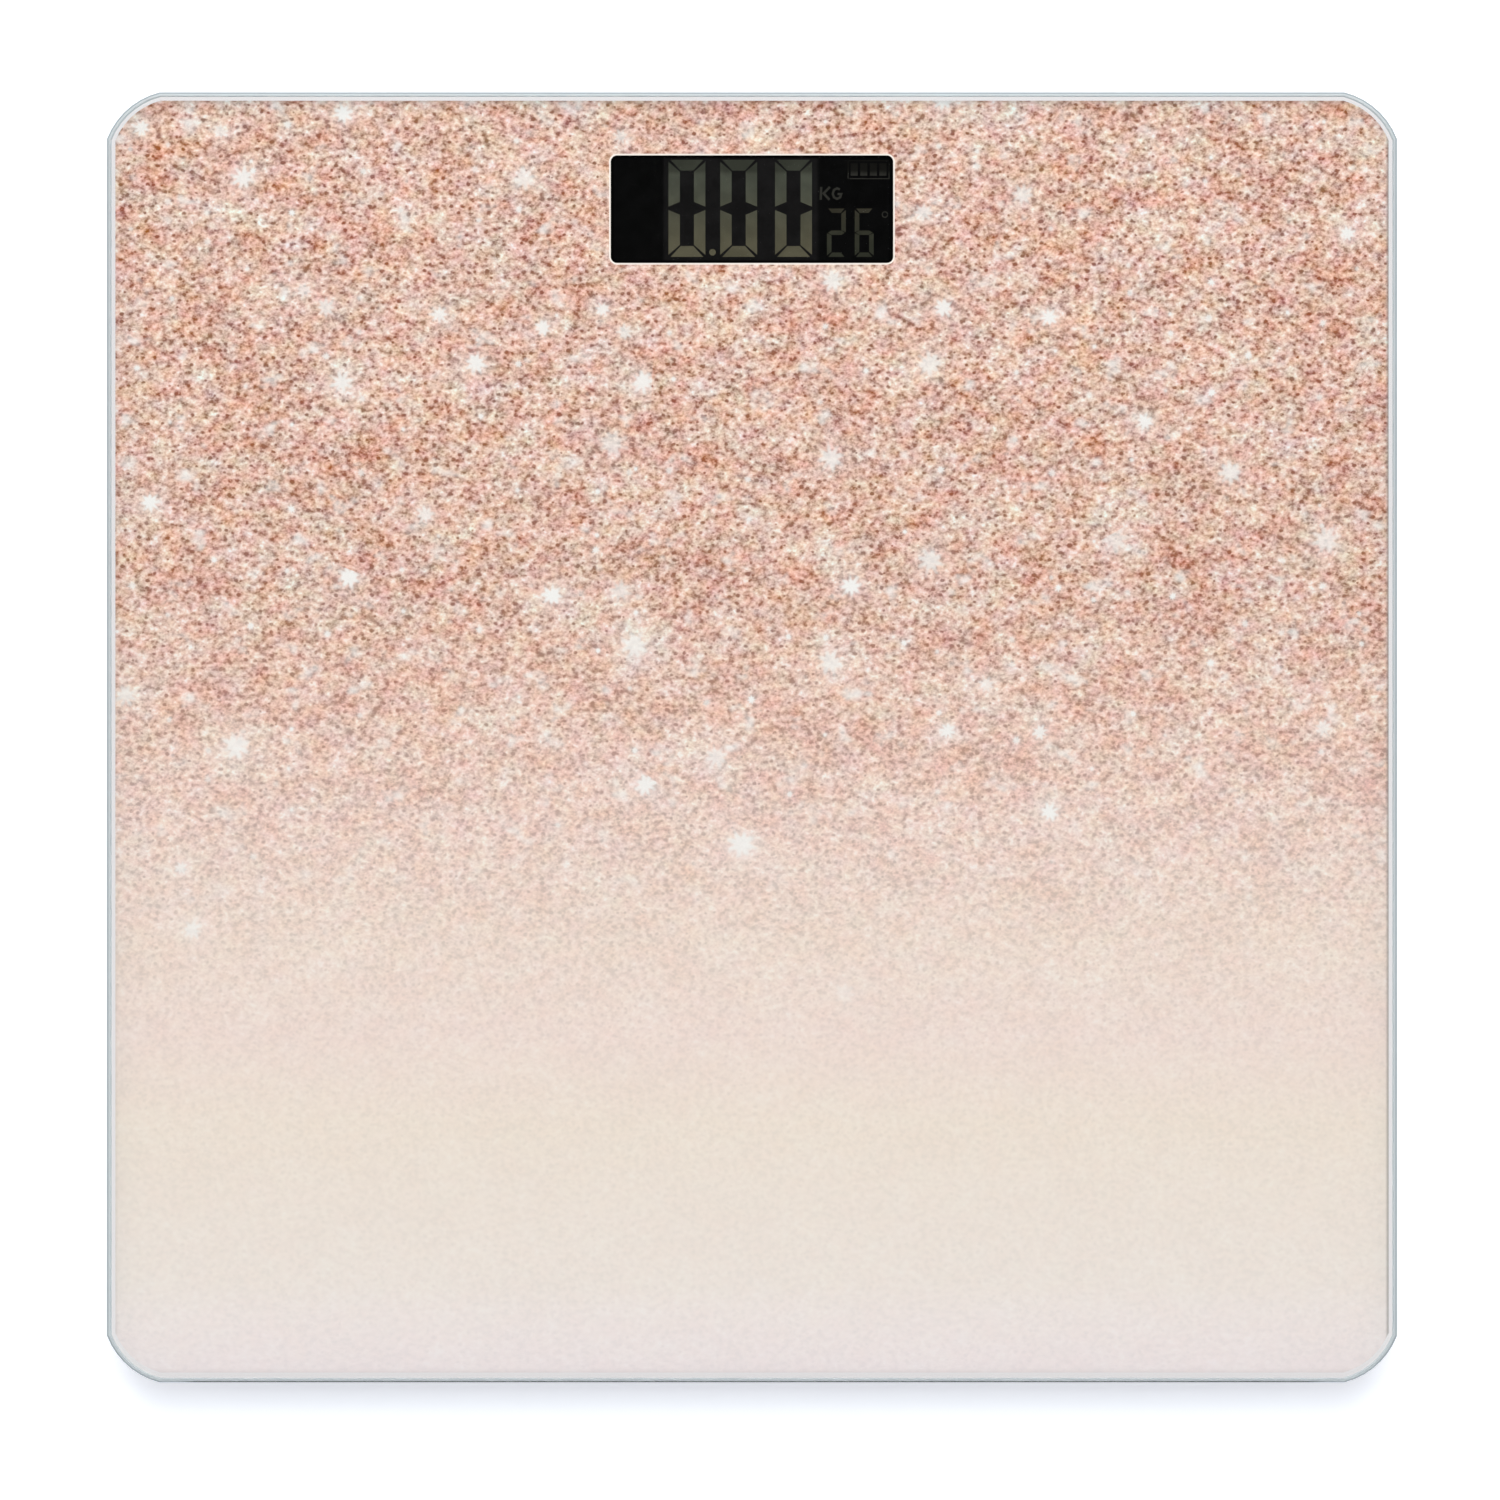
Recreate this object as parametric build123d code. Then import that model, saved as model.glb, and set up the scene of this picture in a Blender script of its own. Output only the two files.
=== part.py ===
from build123d import *
from math import sqrt
import os

# Digital bathroom scale: a square plate of toughened glass with a printed underside, bonded to a
# shallow plastic base tray that stands on four feet, each pushing on its own load cell.
# Millimetres, +Z up. The origin is on the floor, under the middle of the glass. +Y points to the
# display edge and -Y to the person standing on it. "Front" is the -Y side, "rear" the display side.

# Glass plate and the print on its underside
glass_width = 280.0
glass_depth = 280.0
glass_thickness = 5.0
corner_leg_x = 11.4  # from the square corner to where the corner arc starts, along X
corner_leg_y = 10.1  # the same along Y
corner_arc_radius = 16.5
glass_edge_chamfer = 0.8
print_margin = 1.85  # bare glass left round the print
print_thickness = 0.2
window_width = 61.4
window_depth = 23.4
window_corner_radius = 1.4

# Base tray
tray_clearance = 6.5  # floor to the tray's underside
tray_rim_inset = 4.0  # glass edge to the tray's rim
tray_base_inset = 12.0  # glass edge to the tray's bottom edge
tray_corner_radius = 14.0
tray_wall = 2.0
tray_floor = 2.0
tray_edge_fillet = 1.2
rim_width = 6.0
rim_thickness = 2.0
rib_pitch = 32.0
rib_thickness = 1.6
rib_lanes = 7  # each way
rib_room = 2.0  # kept free round the board
tape_thickness = 0.5
tape_edge_gap = 0.6  # rim edge left bare beside the tape

# Feet and load cells
foot_inset = 44.0  # glass edge to a foot's axis
foot_travel = 0.4
cell_side = 34.0
cell_thickness = 2.0
cell_corner = 3.0
cell_bar = 5.0  # width of the frame round the tongue
cell_slot = 2.5
potting_end_x = 6.0  # foot's axis to where the wires leave the potting
potting_side_gap = 0.5
well_room = 10.5  # cell's side to the well's wall, for the screw bosses
well_wall = 2.0
bracket_thickness = 2.2
bracket_gap = 0.3  # radial, to the well
rail_width = 4.0
rail_length = 28.0
bracket_screw_inset = 4.0  # well's wall to a bracket screw
snap_radius = 8.0
snap_wall = 1.4
snap_gap = 0.3  # radial, to the bracket's hole
snap_hook = 0.9
snap_hook_height = 0.6
snap_rest_gap = 0.2  # hook above the bracket with the foot at rest
snap_top_gap = 0.3  # hook to the load cell with the foot pushed up
snap_slot = 3.0
post_radius = 3.5
cup_radius = 20.5
cup_wall = 1.6
cup_floor = 3.0
cup_rim_gap = 0.9  # cup rim to the tray's underside
cup_rib_count = 6
cup_rib_thickness = 1.2
cup_rib_height = 0.9
pad_border = 2.5  # cup edge to the pad
pad_thickness = 2.2
pad_seat_depth = 1.0
pad_seat_gap = 0.2
pad_groove_width = 1.2
pad_groove_depth = 0.6

# Screws
screw_radius = 1.3
screw_head_radius = 2.4
screw_head_height = 1.1
bracket_screw_length = 6.0
screw_tip_gap = 0.2
screw_hole_gap = 0.25
screw_cross_width = 0.7
screw_cross_length = 3.0
screw_cross_depth = 0.6
boss_wall = 1.7

# Display
filter_lap = 2.3
filter_thickness = 0.4
gasket_thickness = 0.3
lcd_margin_x = 1.6
lcd_margin_y = 1.2
lcd_glass_thickness = 1.3
lcd_ledge = 2.6
backlight_thickness = 2.2
holder_wall = 1.0
fit_gap = 0.1
zebra_width = 2.0
display_wall_gap = 0.4  # display holder to the tray's wall

# Circuit board
pcb_side_apron = 6.6  # board beside the display holder
pcb_front_apron = 9.0  # board in front of it
pcb_thickness = 1.6
pcb_screw_inset = 3.0
chip_radius = 6.0
chip_height = 1.4
part_length = 2.0  # one resistor or capacitor
part_width = 1.2
part_height = 0.6
part_pitch_x = 4.0
part_pitch_y = 4.5
part_columns = 3
part_rows = 5
crystal_length = 8.0
crystal_width = 4.0
crystal_height = 1.6
thermistor_radius = 1.3
thermistor_reach = 4.5
thermistor_leg_radius = 0.25
vent_slots = 3
vent_slot_width = 1.2
vent_slot_length = 8.0

# Unit button and its switch
button_screw_gap = 9.0  # button's axis to the board's nearest screw, along X
button_radius = 4.1
button_gap = 0.15
button_flange_lap = 1.1
button_flange_thickness = 0.6
button_flange_gap = 0.1
button_travel = 0.3
plunger_radius = 1.5
plunger_shown = 0.4
plunger_hidden = 0.6  # length of the plunger inside the switch
switch_side = 6.0
switch_height = 1.3
switch_inset = 1.0  # board's front edge to the switch
bore_gap = 0.05  # radial, for a pin or plunger in its hole

# Batteries (two AAA cells) and their bay
battery_radius = 5.25
battery_length = 44.5
battery_nub_radius = 1.9
battery_nub_length = 0.8
battery_play = 0.2
bay_board_gap = 16.7  # bay to the board's front edge
bay_wall = 1.6
bay_ledge = 2.0  # shoulder above the door's edge
bay_skirt = 2.0  # wall round the door
bay_top_gap = 0.7  # bay roof to the rim level
contact_thickness = 0.4
contact_height = 9.2
contact_width = 8.6
tab_width = 3.0
tab_overhang = 1.2  # tab beyond the wire on it
spring_length = 7.0
spring_wire_radius = 0.35
spring_base_radius = 3.4
spring_tip_radius = 2.2
spring_turns = 3.5

# Battery door
door_thickness = 1.6
door_gap = 0.25
door_seat_gap = 0.15
pin_length = 1.2
grip_count = 3
grip_width = 0.8
grip_depth = 0.5
grip_length = 16.0
finger_notch_width = 14.0
finger_notch_depth = 2.0

# Wires
wire_radius = 0.55
wire_pitch = 1.3
wire_cell_gap = 0.3  # load cell to the wires above it
wire_slot_gap = 0.4
wire_pad_inset = 1.6  # wire end to the board's front edge
wire_pad_side_inset = 4.6  # wire end to the board's side edge
front_wire_bend = 12.0  # where the front wires turn towards the display
board_wire_bend = 5.0  # where wires step or turn beside the board
front_wire_step = 10.0  # board's front edge to where the front wires meet it
rear_wire_step = 14.0  # rear foot's axis to where the rear wires meet the board
battery_wire_gap = 1.2  # bay wall to the nearer battery wire
battery_wire_pitch = 2.6

# Rating label, left blank
label_width = 56.0
label_depth = 34.0
label_thickness = 0.15
label_y = -20.0

weld = 0.1  # overlap of solids that are fused into one

# Levels above the floor. The display stack and the switch under the board set the tray's height.
tray_bottom = tray_clearance
floor_top = tray_bottom + tray_floor
flange_low = floor_top + button_flange_gap
flange_high = flange_low + button_flange_thickness
pcb_bottom = flange_high + plunger_shown + switch_height
pcb_top = pcb_bottom + pcb_thickness
lcd_bottom = pcb_top + backlight_thickness
lcd_ledge_level = lcd_bottom + lcd_glass_thickness
lcd_top = lcd_ledge_level + lcd_glass_thickness
filter_bottom = lcd_top + gasket_thickness
print_bottom = filter_bottom + filter_thickness
tray_rim = print_bottom - tape_thickness
tray_height = tray_rim - tray_bottom
glass_bottom = print_bottom + print_thickness
glass_top = glass_bottom + glass_thickness
board_wire_axis = pcb_top + wire_radius

# Levels of a foot
roof_bottom = tray_rim - rim_thickness
bracket_top = tray_bottom + bracket_thickness
bracket_seat = tray_bottom + screw_head_height
hook_bottom = bracket_top + snap_rest_gap
hook_top = hook_bottom + snap_hook_height
cell_bottom = hook_top + foot_travel + snap_top_gap
cell_top = cell_bottom + cell_thickness
cell_wire_axis = cell_top + wire_cell_gap + wire_radius
potting_top = cell_wire_axis + 2 * wire_radius
cup_bottom = pad_thickness - pad_seat_depth
cup_floor_top = cup_bottom + cup_floor
cup_rim = tray_bottom - cup_rim_gap

# Levels of the battery bay
bay_top = tray_rim - bay_top_gap
bay_ceiling = bay_top - bay_wall
battery_axis = bay_ceiling - battery_play - battery_radius
bay_shoulder = battery_axis - battery_radius - battery_play
door_top = bay_shoulder - door_seat_gap
door_bottom = door_top - door_thickness
hinge_axis = (door_top + door_bottom) / 2
tab_top = board_wire_axis - wire_radius
rib_top = min(board_wire_axis, cell_wire_axis) - wire_radius - contact_thickness - 2 * fit_gap

# Places on the plan
foot_x = glass_width / 2 - foot_inset
foot_y = glass_depth / 2 - foot_inset
well_radius = cell_side / 2 + well_room
boss_radius = screw_radius + boss_wall
rail_y = cell_side / 2 - cell_bar / 2
bracket_screw_y = well_radius - bracket_screw_inset
tongue_half_width = cell_side / 2 - cell_bar - cell_slot
pad_radius = cup_radius - pad_border
lcd_width = window_width + 2 * lcd_margin_x
lcd_depth = window_depth + 2 * lcd_margin_y
holder_width = lcd_width + 2 * (fit_gap + holder_wall)
holder_depth = lcd_depth + 2 * (fit_gap + holder_wall)
wall_lean = (tray_base_inset - tray_rim_inset) / tray_height
wall_y = glass_depth / 2 - tray_base_inset - tray_wall + wall_lean * (pcb_bottom - tray_bottom)
pcb_rear = wall_y - display_wall_gap
window_y = pcb_rear - holder_depth / 2
pcb_front = window_y - holder_depth / 2 - pcb_front_apron
pcb_half_width = holder_width / 2 + pcb_side_apron
button_x = pcb_half_width - pcb_screw_inset - button_screw_gap
button_y = pcb_front + switch_inset + switch_side / 2
thermistor_x = -pcb_half_width / 2
thermistor_y = pcb_front - thermistor_reach
battery_step = battery_radius + battery_play
bay_half_x = (battery_length + spring_length) / 2 + contact_thickness
bay_half_y = battery_step + battery_radius + 2 * battery_play
recess_half_x = bay_half_x + bay_ledge
recess_half_y = bay_half_y + bay_ledge
bay_centre_y = pcb_front - bay_board_gap - recess_half_y - bay_skirt
wire_alley = foot_x - well_radius - well_wall - pcb_half_width
front_lane_x = pcb_half_width + wire_alley / 4
rear_lane_x = pcb_half_width + wire_alley * 3 / 4
hinge_y = bay_centre_y + recess_half_y - door_gap - door_seat_gap - door_thickness / 2


def box(x_range, y_range, z_range):
    """Box between three pairs of coordinates."""
    size = [pair[1] - pair[0] for pair in (x_range, y_range, z_range)]
    middle = [(pair[1] + pair[0]) / 2 for pair in (x_range, y_range, z_range)]
    return Pos(*middle) * Box(*size)


def disc(radius, z_low, z_high, x=0, y=0):
    """Upright cylinder between two levels."""
    return Pos(x, y, (z_low + z_high) / 2) * Cylinder(radius, z_high - z_low)


def group(solids):
    """Several separate solids as one node."""
    return Compound(children=list(solids))


def rounded_block(width, depth, radius, z_low, z_high, y=0):
    """Upright block with rounded corners, centred on x = 0."""
    return Pos(0, y, z_low) * extrude(RectangleRounded(width, depth, radius), z_high - z_low)


def glass_outline(inset):
    """The plate's outline, drawn in all round. Its corner arcs meet the sides at a slight angle."""
    half_x = glass_width / 2
    half_y = glass_depth / 2
    side_point = Vector(half_x, half_y - corner_leg_y)
    end_point = Vector(half_x - corner_leg_x, half_y)
    half_chord = (end_point - side_point) * 0.5
    inward = Vector(-half_chord.Y, half_chord.X).normalized()
    drop = sqrt(corner_arc_radius**2 - half_chord.length**2)
    centre = side_point + half_chord + inward * drop
    radius = corner_arc_radius - inset
    low_x = half_x - inset
    low_y = half_y - inset
    arc_start = (low_x, centre.Y + sqrt(radius**2 - (low_x - centre.X) ** 2))
    arc_end = (centre.X + sqrt(radius**2 - (low_y - centre.Y) ** 2), low_y)
    side = Line((low_x, 0), arc_start)
    corner = RadiusArc(arc_start, arc_end, -radius)
    end = Line(arc_end, (0, low_y))
    quarter = Curve() + [side, corner, end]
    half = quarter + mirror(quarter, about=Plane.YZ)
    return make_face(half + mirror(half, about=Plane.XZ))


def tray_section(level, inset):
    """The tray's outline at a level, its sides leaning out towards the rim."""
    inset_here = tray_base_inset - wall_lean * (level - tray_bottom) + inset
    radius = tray_corner_radius + tray_rim_inset - inset_here
    width = glass_width - 2 * inset_here
    depth = glass_depth - 2 * inset_here
    return Pos(0, 0, level) * RectangleRounded(width, depth, radius)


def feet_places():
    """Name and sides (-1 or 1 in x and y) of each foot."""
    return [
        ("front_left", -1, -1),
        ("front_right", 1, -1),
        ("rear_left", -1, 1),
        ("rear_right", 1, 1),
    ]


def at_foot(piece, side_x, side_y):
    """Put a piece made round a foot's axis, wires leaving to +X, at one of the four feet."""
    if side_x > 0:
        piece = mirror(piece, about=Plane.YZ)
    return Pos(side_x * foot_x, side_y * foot_y, 0) * piece


def at_each_foot(piece):
    return [at_foot(piece, side_x, side_y) for name, side_x, side_y in feet_places()]


def screw(x, y, seat, length, drives_up=False):
    """Pan-head screw with a cross slot, its head on the seat level. It is driven down, or up."""
    head = disc(screw_head_radius, 0, screw_head_height)
    head = fillet(head.edges().group_by(Axis.Z)[-1], screw_head_height * 0.4)
    slot_z = (screw_head_height - screw_cross_depth, screw_head_height)
    long_way = (-screw_cross_length / 2, screw_cross_length / 2)
    short_way = (-screw_cross_width / 2, screw_cross_width / 2)
    body = head + disc(screw_radius, -length, 0)
    body -= box(long_way, short_way, slot_z) + box(short_way, long_way, slot_z)
    if drives_up:
        body = Rot(180, 0, 0) * body
    return Pos(x, y, seat) * body


# Glass, print and tape


def make_glass_platform():
    def edge_band(outer_level, inner_level):
        """Ground edge between a face of the plate and its upright side."""
        face_outline = Pos(0, 0, outer_level) * glass_outline(glass_edge_chamfer)
        return loft([face_outline, Pos(0, 0, inner_level) * glass_outline(0)], ruled=True)

    side_low = glass_bottom + glass_edge_chamfer
    side_high = glass_top - glass_edge_chamfer
    plate = extrude(Pos(0, 0, side_low) * glass_outline(0), side_high - side_low)
    return plate + edge_band(glass_bottom, side_low) + edge_band(glass_top, side_high)


def make_print_layer():
    film = extrude(Pos(0, 0, print_bottom) * glass_outline(print_margin), print_thickness)
    window = rounded_block(
        window_width, window_depth, window_corner_radius, print_bottom, glass_bottom, window_y
    )
    return film - window


def make_bond_tape():
    """Foam tape: a ring on the tray's rim and a pad on the roof of each foot's well."""
    outer = tray_section(tray_rim, tape_edge_gap)
    inner = tray_section(tray_rim, rim_width - tape_edge_gap)
    ring = extrude(outer - inner, tape_thickness) - display_room(tray_rim, print_bottom)
    pads = at_each_foot(disc(well_radius - well_wall, tray_rim, print_bottom))
    return group([ring] + pads)


# Base tray


def display_room(z_low, z_high):
    """Room for the display holder between two levels."""
    half_x = holder_width / 2 + fit_gap
    half_y = holder_depth / 2 + fit_gap
    return box((-half_x, half_x), (window_y - half_y, window_y + half_y), (z_low, z_high))


def make_tray_shell():
    """Outer walls, floor, rim flange, ribs and the feet's wells."""
    outer = loft([tray_section(tray_bottom, 0), tray_section(tray_rim, 0)])
    outer = fillet(outer.edges().group_by(Axis.Z)[0], tray_edge_fillet)
    cavity = loft([tray_section(floor_top, tray_wall), tray_section(tray_rim, tray_wall)])
    flange = extrude(tray_section(tray_rim, 0) - tray_section(tray_rim, rim_width), -rim_thickness)
    flange -= display_room(roof_bottom, tray_rim)
    well_walls = at_each_foot(disc(well_radius + well_wall, tray_bottom, tray_rim))
    ribs = (make_ribs() & cavity).solids()
    trimmed = ((flange + well_walls) & outer).solids()
    shell = outer - cavity + ribs + trimmed
    return shell - at_each_foot(make_well_room()) + at_each_foot(make_well_clamps())


def make_ribs():
    """Grid of low ribs on the tray's floor, left out round the board, the bay and the wells."""
    levels = (floor_top - weld, rib_top)
    reach = (-glass_width / 2, glass_width / 2)
    first = -rib_pitch * (rib_lanes - 1) / 2
    grid = Part()
    for number in range(rib_lanes):
        middle = first + rib_pitch * number
        lane = (middle - rib_thickness / 2, middle + rib_thickness / 2)
        grid += [box(lane, reach, levels), box(reach, lane, levels)]
    board_half = pcb_half_width + rib_room
    board_low = thermistor_y - thermistor_radius - rib_room
    grid -= box((-board_half, board_half), (board_low, glass_depth / 2), levels)
    bay_y = (bay_centre_y - bay_half_y, bay_centre_y + bay_half_y)
    return grid - box((-bay_half_x, bay_half_x), bay_y, levels)


def make_well_room():
    """Room inside a foot's well, open below, with a slot for the wires through its wall."""
    slot_half_y = wire_pitch + wire_radius + wire_slot_gap
    slot_half_z = wire_radius + wire_slot_gap
    slot = box(
        (0, well_radius + 2 * well_wall),
        (-slot_half_y, slot_half_y),
        (cell_wire_axis - slot_half_z, cell_wire_axis + slot_half_z),
    )
    return disc(well_radius, tray_bottom, roof_bottom) + slot


def make_well_clamps():
    """Two rails on the load cell's frame and two screw bosses, hanging from the well's roof."""
    clamps = Part()
    for side in (-1, 1):
        clamps += clamp_rail(side, cell_top, roof_bottom + weld)
        boss_y = side * bracket_screw_y
        clamps += disc(boss_radius, bracket_top, roof_bottom + weld, 0, boss_y)
        screw_tip = bracket_seat + bracket_screw_length
        clamps -= disc(screw_radius, bracket_top, screw_tip, 0, boss_y)
    return clamps


def clamp_rail(side, z_low, z_high):
    """Rail along one side bar of a load cell's frame."""
    rail = (side * rail_y - rail_width / 2, side * rail_y + rail_width / 2)
    return box((-rail_length / 2, rail_length / 2), rail, (z_low, z_high))


def pcb_screw_places():
    x = pcb_half_width - pcb_screw_inset
    front = pcb_front + pcb_screw_inset
    rear = pcb_rear - pcb_screw_inset
    return [(-x, front), (x, front), (-x, rear), (x, rear)]


def make_bay_walls():
    """Battery bay: a box inside the tray and a skirt below it that takes the door."""
    skirt_width = 2 * (recess_half_x + bay_skirt)
    skirt_depth = 2 * (recess_half_y + bay_skirt)
    skirt = rounded_block(
        skirt_width, skirt_depth, bay_skirt, door_bottom, floor_top, bay_centre_y
    )
    skirt = chamfer(skirt.edges().group_by(Axis.Z)[0], bay_skirt / 3)
    house_x = bay_half_x + bay_wall
    house_y = bay_half_y + bay_wall
    house = box(
        (-house_x, house_x),
        (bay_centre_y - house_y, bay_centre_y + house_y),
        (bay_shoulder, bay_top),
    )
    return skirt + house


def make_bay_room():
    """What is cut out of the bay: the cells' room, the door's recess, hinge holes and tab slots."""
    bay_y = (bay_centre_y - bay_half_y, bay_centre_y + bay_half_y)
    room = box((-bay_half_x, bay_half_x), bay_y, (door_bottom, bay_ceiling))
    recess_y = (bay_centre_y - recess_half_y, bay_centre_y + recess_half_y)
    room += box((-recess_half_x, recess_half_x), recess_y, (door_bottom, bay_shoulder))
    pin_hole = Cylinder(door_thickness / 2, 2 * (recess_half_x + pin_length))
    room += Pos(0, hinge_y, hinge_axis) * Rot(0, 90, 0) * pin_hole
    for side in (-1, 1):
        tab_y = bay_centre_y + side * battery_step
        half = tab_width / 2 + fit_gap
        room += box(
            (bay_half_x - weld, bay_half_x + 2 * bay_wall),
            (tab_y - half, tab_y + half),
            (tab_top - contact_thickness - fit_gap, tab_top + fit_gap),
        )
    return room


def make_vent():
    """Slots in the floor under the thermistor."""
    first = thermistor_x - vent_slot_width * (vent_slots - 1)
    return Part() + [
        Pos(first + 2 * vent_slot_width * number, thermistor_y, floor_top - tray_floor / 2)
        * Box(vent_slot_width, vent_slot_length, tray_floor)
        for number in range(vent_slots)
    ]


def make_base_tray():
    tray = make_tray_shell()
    for x, y in pcb_screw_places():
        tray += disc(boss_radius, floor_top - weld, pcb_bottom, x, y)
        tray -= disc(screw_radius, floor_top, pcb_bottom, x, y)
    tray = tray + make_bay_walls() - make_bay_room() - make_vent()
    return tray - disc(button_radius + button_gap, tray_bottom, floor_top, button_x, button_y)


def make_rating_label():
    """Blank sticker under the tray."""
    label = RectangleRounded(label_width, label_depth, label_width / 30)
    return extrude(Pos(0, label_y, tray_bottom) * label, -label_thickness)


# Feet and load cells, made round a foot's axis


def make_load_cell():
    """Stamped steel plate: a frame, and a tongue from its -X bar that the foot's post pushes on."""
    half = cell_side / 2
    inner = half - cell_bar
    levels = (cell_bottom, cell_top)
    blank = box((-half, half), (-half, half), levels)
    blank = chamfer(blank.edges().filter_by(Axis.Z), cell_corner)
    opening = box((-inner, inner), (-inner, inner), levels)
    tongue_y = (-tongue_half_width, tongue_half_width)
    return blank - opening + box((-inner - weld, inner - cell_slot), tongue_y, levels)


def make_gauge_potting():
    """Soft sealing compound over the strain gauge and the ends of its wires."""
    start_x = -cell_side / 2 + cell_bar
    half_y = tongue_half_width - potting_side_gap
    block = box((start_x, potting_end_x), (-half_y, half_y), (cell_top, potting_top))
    return fillet(block.edges().group_by(Axis.Z)[-1], wire_radius)


def make_cell_bracket():
    """Round plate that closes the well and clamps the cell's frame against the well's rails."""
    plate = disc(well_radius - bracket_gap, tray_bottom, bracket_top)
    plate -= disc(snap_radius + snap_gap, tray_bottom, bracket_top)
    for side in (-1, 1):
        plate += clamp_rail(side, bracket_top, cell_bottom)
        hole_y = side * bracket_screw_y
        head_room = screw_head_radius + screw_hole_gap
        plate -= disc(head_room, tray_bottom, bracket_seat, 0, hole_y)
        plate -= disc(screw_radius + fit_gap, tray_bottom, bracket_top, 0, hole_y)
    return plate


def make_bracket_screws():
    return [
        screw(0, side * bracket_screw_y, bracket_seat, bracket_screw_length, drives_up=True)
        for side in (-1, 1)
    ]


def make_foot_cup():
    """Cup with a post that pushes on the load cell and a slotted ring of snap hooks."""
    cup = disc(cup_radius, cup_bottom, cup_rim)
    cup = fillet(cup.edges().group_by(Axis.Z)[0], cup_wall / 2)
    cup -= disc(cup_radius - cup_wall, cup_floor_top, cup_rim)
    cup -= disc(pad_radius + pad_seat_gap, cup_bottom, pad_thickness)
    rib_x = (snap_radius - snap_wall / 2, cup_radius - cup_wall / 2)
    rib_y = (-cup_rib_thickness / 2, cup_rib_thickness / 2)
    rib_top_here = cup_floor_top + cup_rib_height
    rib = box(rib_x, rib_y, (cup_floor_top, rib_top_here))
    turn = 360 / cup_rib_count
    cup += [Rot(0, 0, turn * (number + 0.5)) * rib for number in range(cup_rib_count)]
    ring = disc(snap_radius, cup_floor_top, hook_top)
    ring += disc(snap_radius + snap_hook, hook_bottom, hook_top)
    ring -= disc(snap_radius - snap_wall, cup_floor_top, hook_top)
    slot = box((0, 2 * snap_radius), (-snap_slot / 2, snap_slot / 2), (rib_top_here, hook_top))
    ring -= [Rot(0, 0, 120 * number) * slot for number in range(3)]
    return cup + ring + disc(post_radius, cup_floor_top, cell_bottom)


def make_foot_pad():
    """Soft pad pressed into the cup's underside, with two grooves round its face."""
    pad = disc(pad_radius, 0, pad_thickness)
    pad = fillet(pad.edges().group_by(Axis.Z)[0], pad_groove_depth)
    for radius in (pad_radius / 3, pad_radius * 2 / 3):
        groove = disc(radius + pad_groove_width / 2, 0, pad_groove_depth)
        pad -= groove - disc(radius - pad_groove_width / 2, 0, pad_groove_depth)
    return pad


# Display stack and circuit board


def make_display_filter():
    return rounded_block(
        window_width + 2 * filter_lap,
        window_depth + 2 * filter_lap,
        window_corner_radius,
        filter_bottom,
        print_bottom,
        window_y,
    )


def make_lcd_gasket():
    outer = Rectangle(lcd_width, lcd_depth)
    inner = Rectangle(window_width + lcd_margin_x, window_depth + lcd_margin_y)
    return extrude(Pos(0, window_y, lcd_top) * (outer - inner), gasket_thickness)


def make_lcd_cell():
    """Two glasses. The rear one is shorter, which leaves a contact ledge along the front edge."""
    half_x = lcd_width / 2
    rear_y = window_y + lcd_depth / 2
    front_y = window_y - lcd_depth / 2
    front_glass = box((-half_x, half_x), (front_y, rear_y), (lcd_ledge_level, lcd_top))
    rear_glass = box((-half_x, half_x), (front_y + lcd_ledge, rear_y), (lcd_bottom, lcd_top))
    return front_glass + rear_glass


def make_lcd_backlight():
    half_x = lcd_width / 2
    front_y = window_y - lcd_depth / 2 + lcd_ledge
    return box((-half_x, half_x), (front_y, window_y + lcd_depth / 2), (pcb_top, lcd_bottom))


def make_zebra_strip():
    """Rubber strip of conducting layers between the board and the cell's ledge."""
    front_y = window_y - lcd_depth / 2
    half_x = lcd_width / 2 - lcd_margin_x
    return box((-half_x, half_x), (front_y, front_y + zebra_width), (pcb_top, lcd_ledge_level))


def make_lcd_holder():
    outer = Rectangle(holder_width, holder_depth)
    inner = Rectangle(lcd_width + 2 * fit_gap, lcd_depth + 2 * fit_gap)
    return extrude(Pos(0, window_y, pcb_top) * (outer - inner), lcd_top - pcb_top)


def make_main_pcb():
    board = box((-pcb_half_width, pcb_half_width), (pcb_front, pcb_rear), (pcb_bottom, pcb_top))
    board = fillet(board.edges().filter_by(Axis.Z), pcb_screw_inset / 3)
    holes = [
        disc(screw_radius + fit_gap, pcb_bottom, pcb_top, x, y) for x, y in pcb_screw_places()
    ]
    return board - holes


def make_pcb_screws():
    length = pcb_top - floor_top - screw_tip_gap
    return [screw(x, y, pcb_top, length) for x, y in pcb_screw_places()]


def make_chip_blob():
    """Round drop of black resin over the bare chip under the board."""
    blob = disc(chip_radius, pcb_bottom - chip_height, pcb_bottom, -chip_radius, window_y)
    return fillet(blob.edges().group_by(Axis.Z)[0], chip_height * 0.8)


def under_board(x, y, size):
    """Small part of a given size soldered under the board, placed from the window's middle."""
    return Pos(x, window_y + y, pcb_bottom - size[2] / 2) * Box(*size)


def make_pcb_components():
    """Resistors and capacitors in rows, a crystal and a voltage regulator under the board."""
    part_size = (part_length, part_width, part_height)
    parts = [
        under_board(part_pitch_x * (column + 1), part_pitch_y * (row - part_rows // 2), part_size)
        for column in range(part_columns)
        for row in range(part_rows)
    ]
    crystal = under_board(-pcb_half_width / 2, 0, (crystal_width, crystal_length, crystal_height))
    regulator = under_board(pcb_half_width / 2, 0, (crystal_width, crystal_width, crystal_height))
    return parts + [crystal, regulator]


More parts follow.
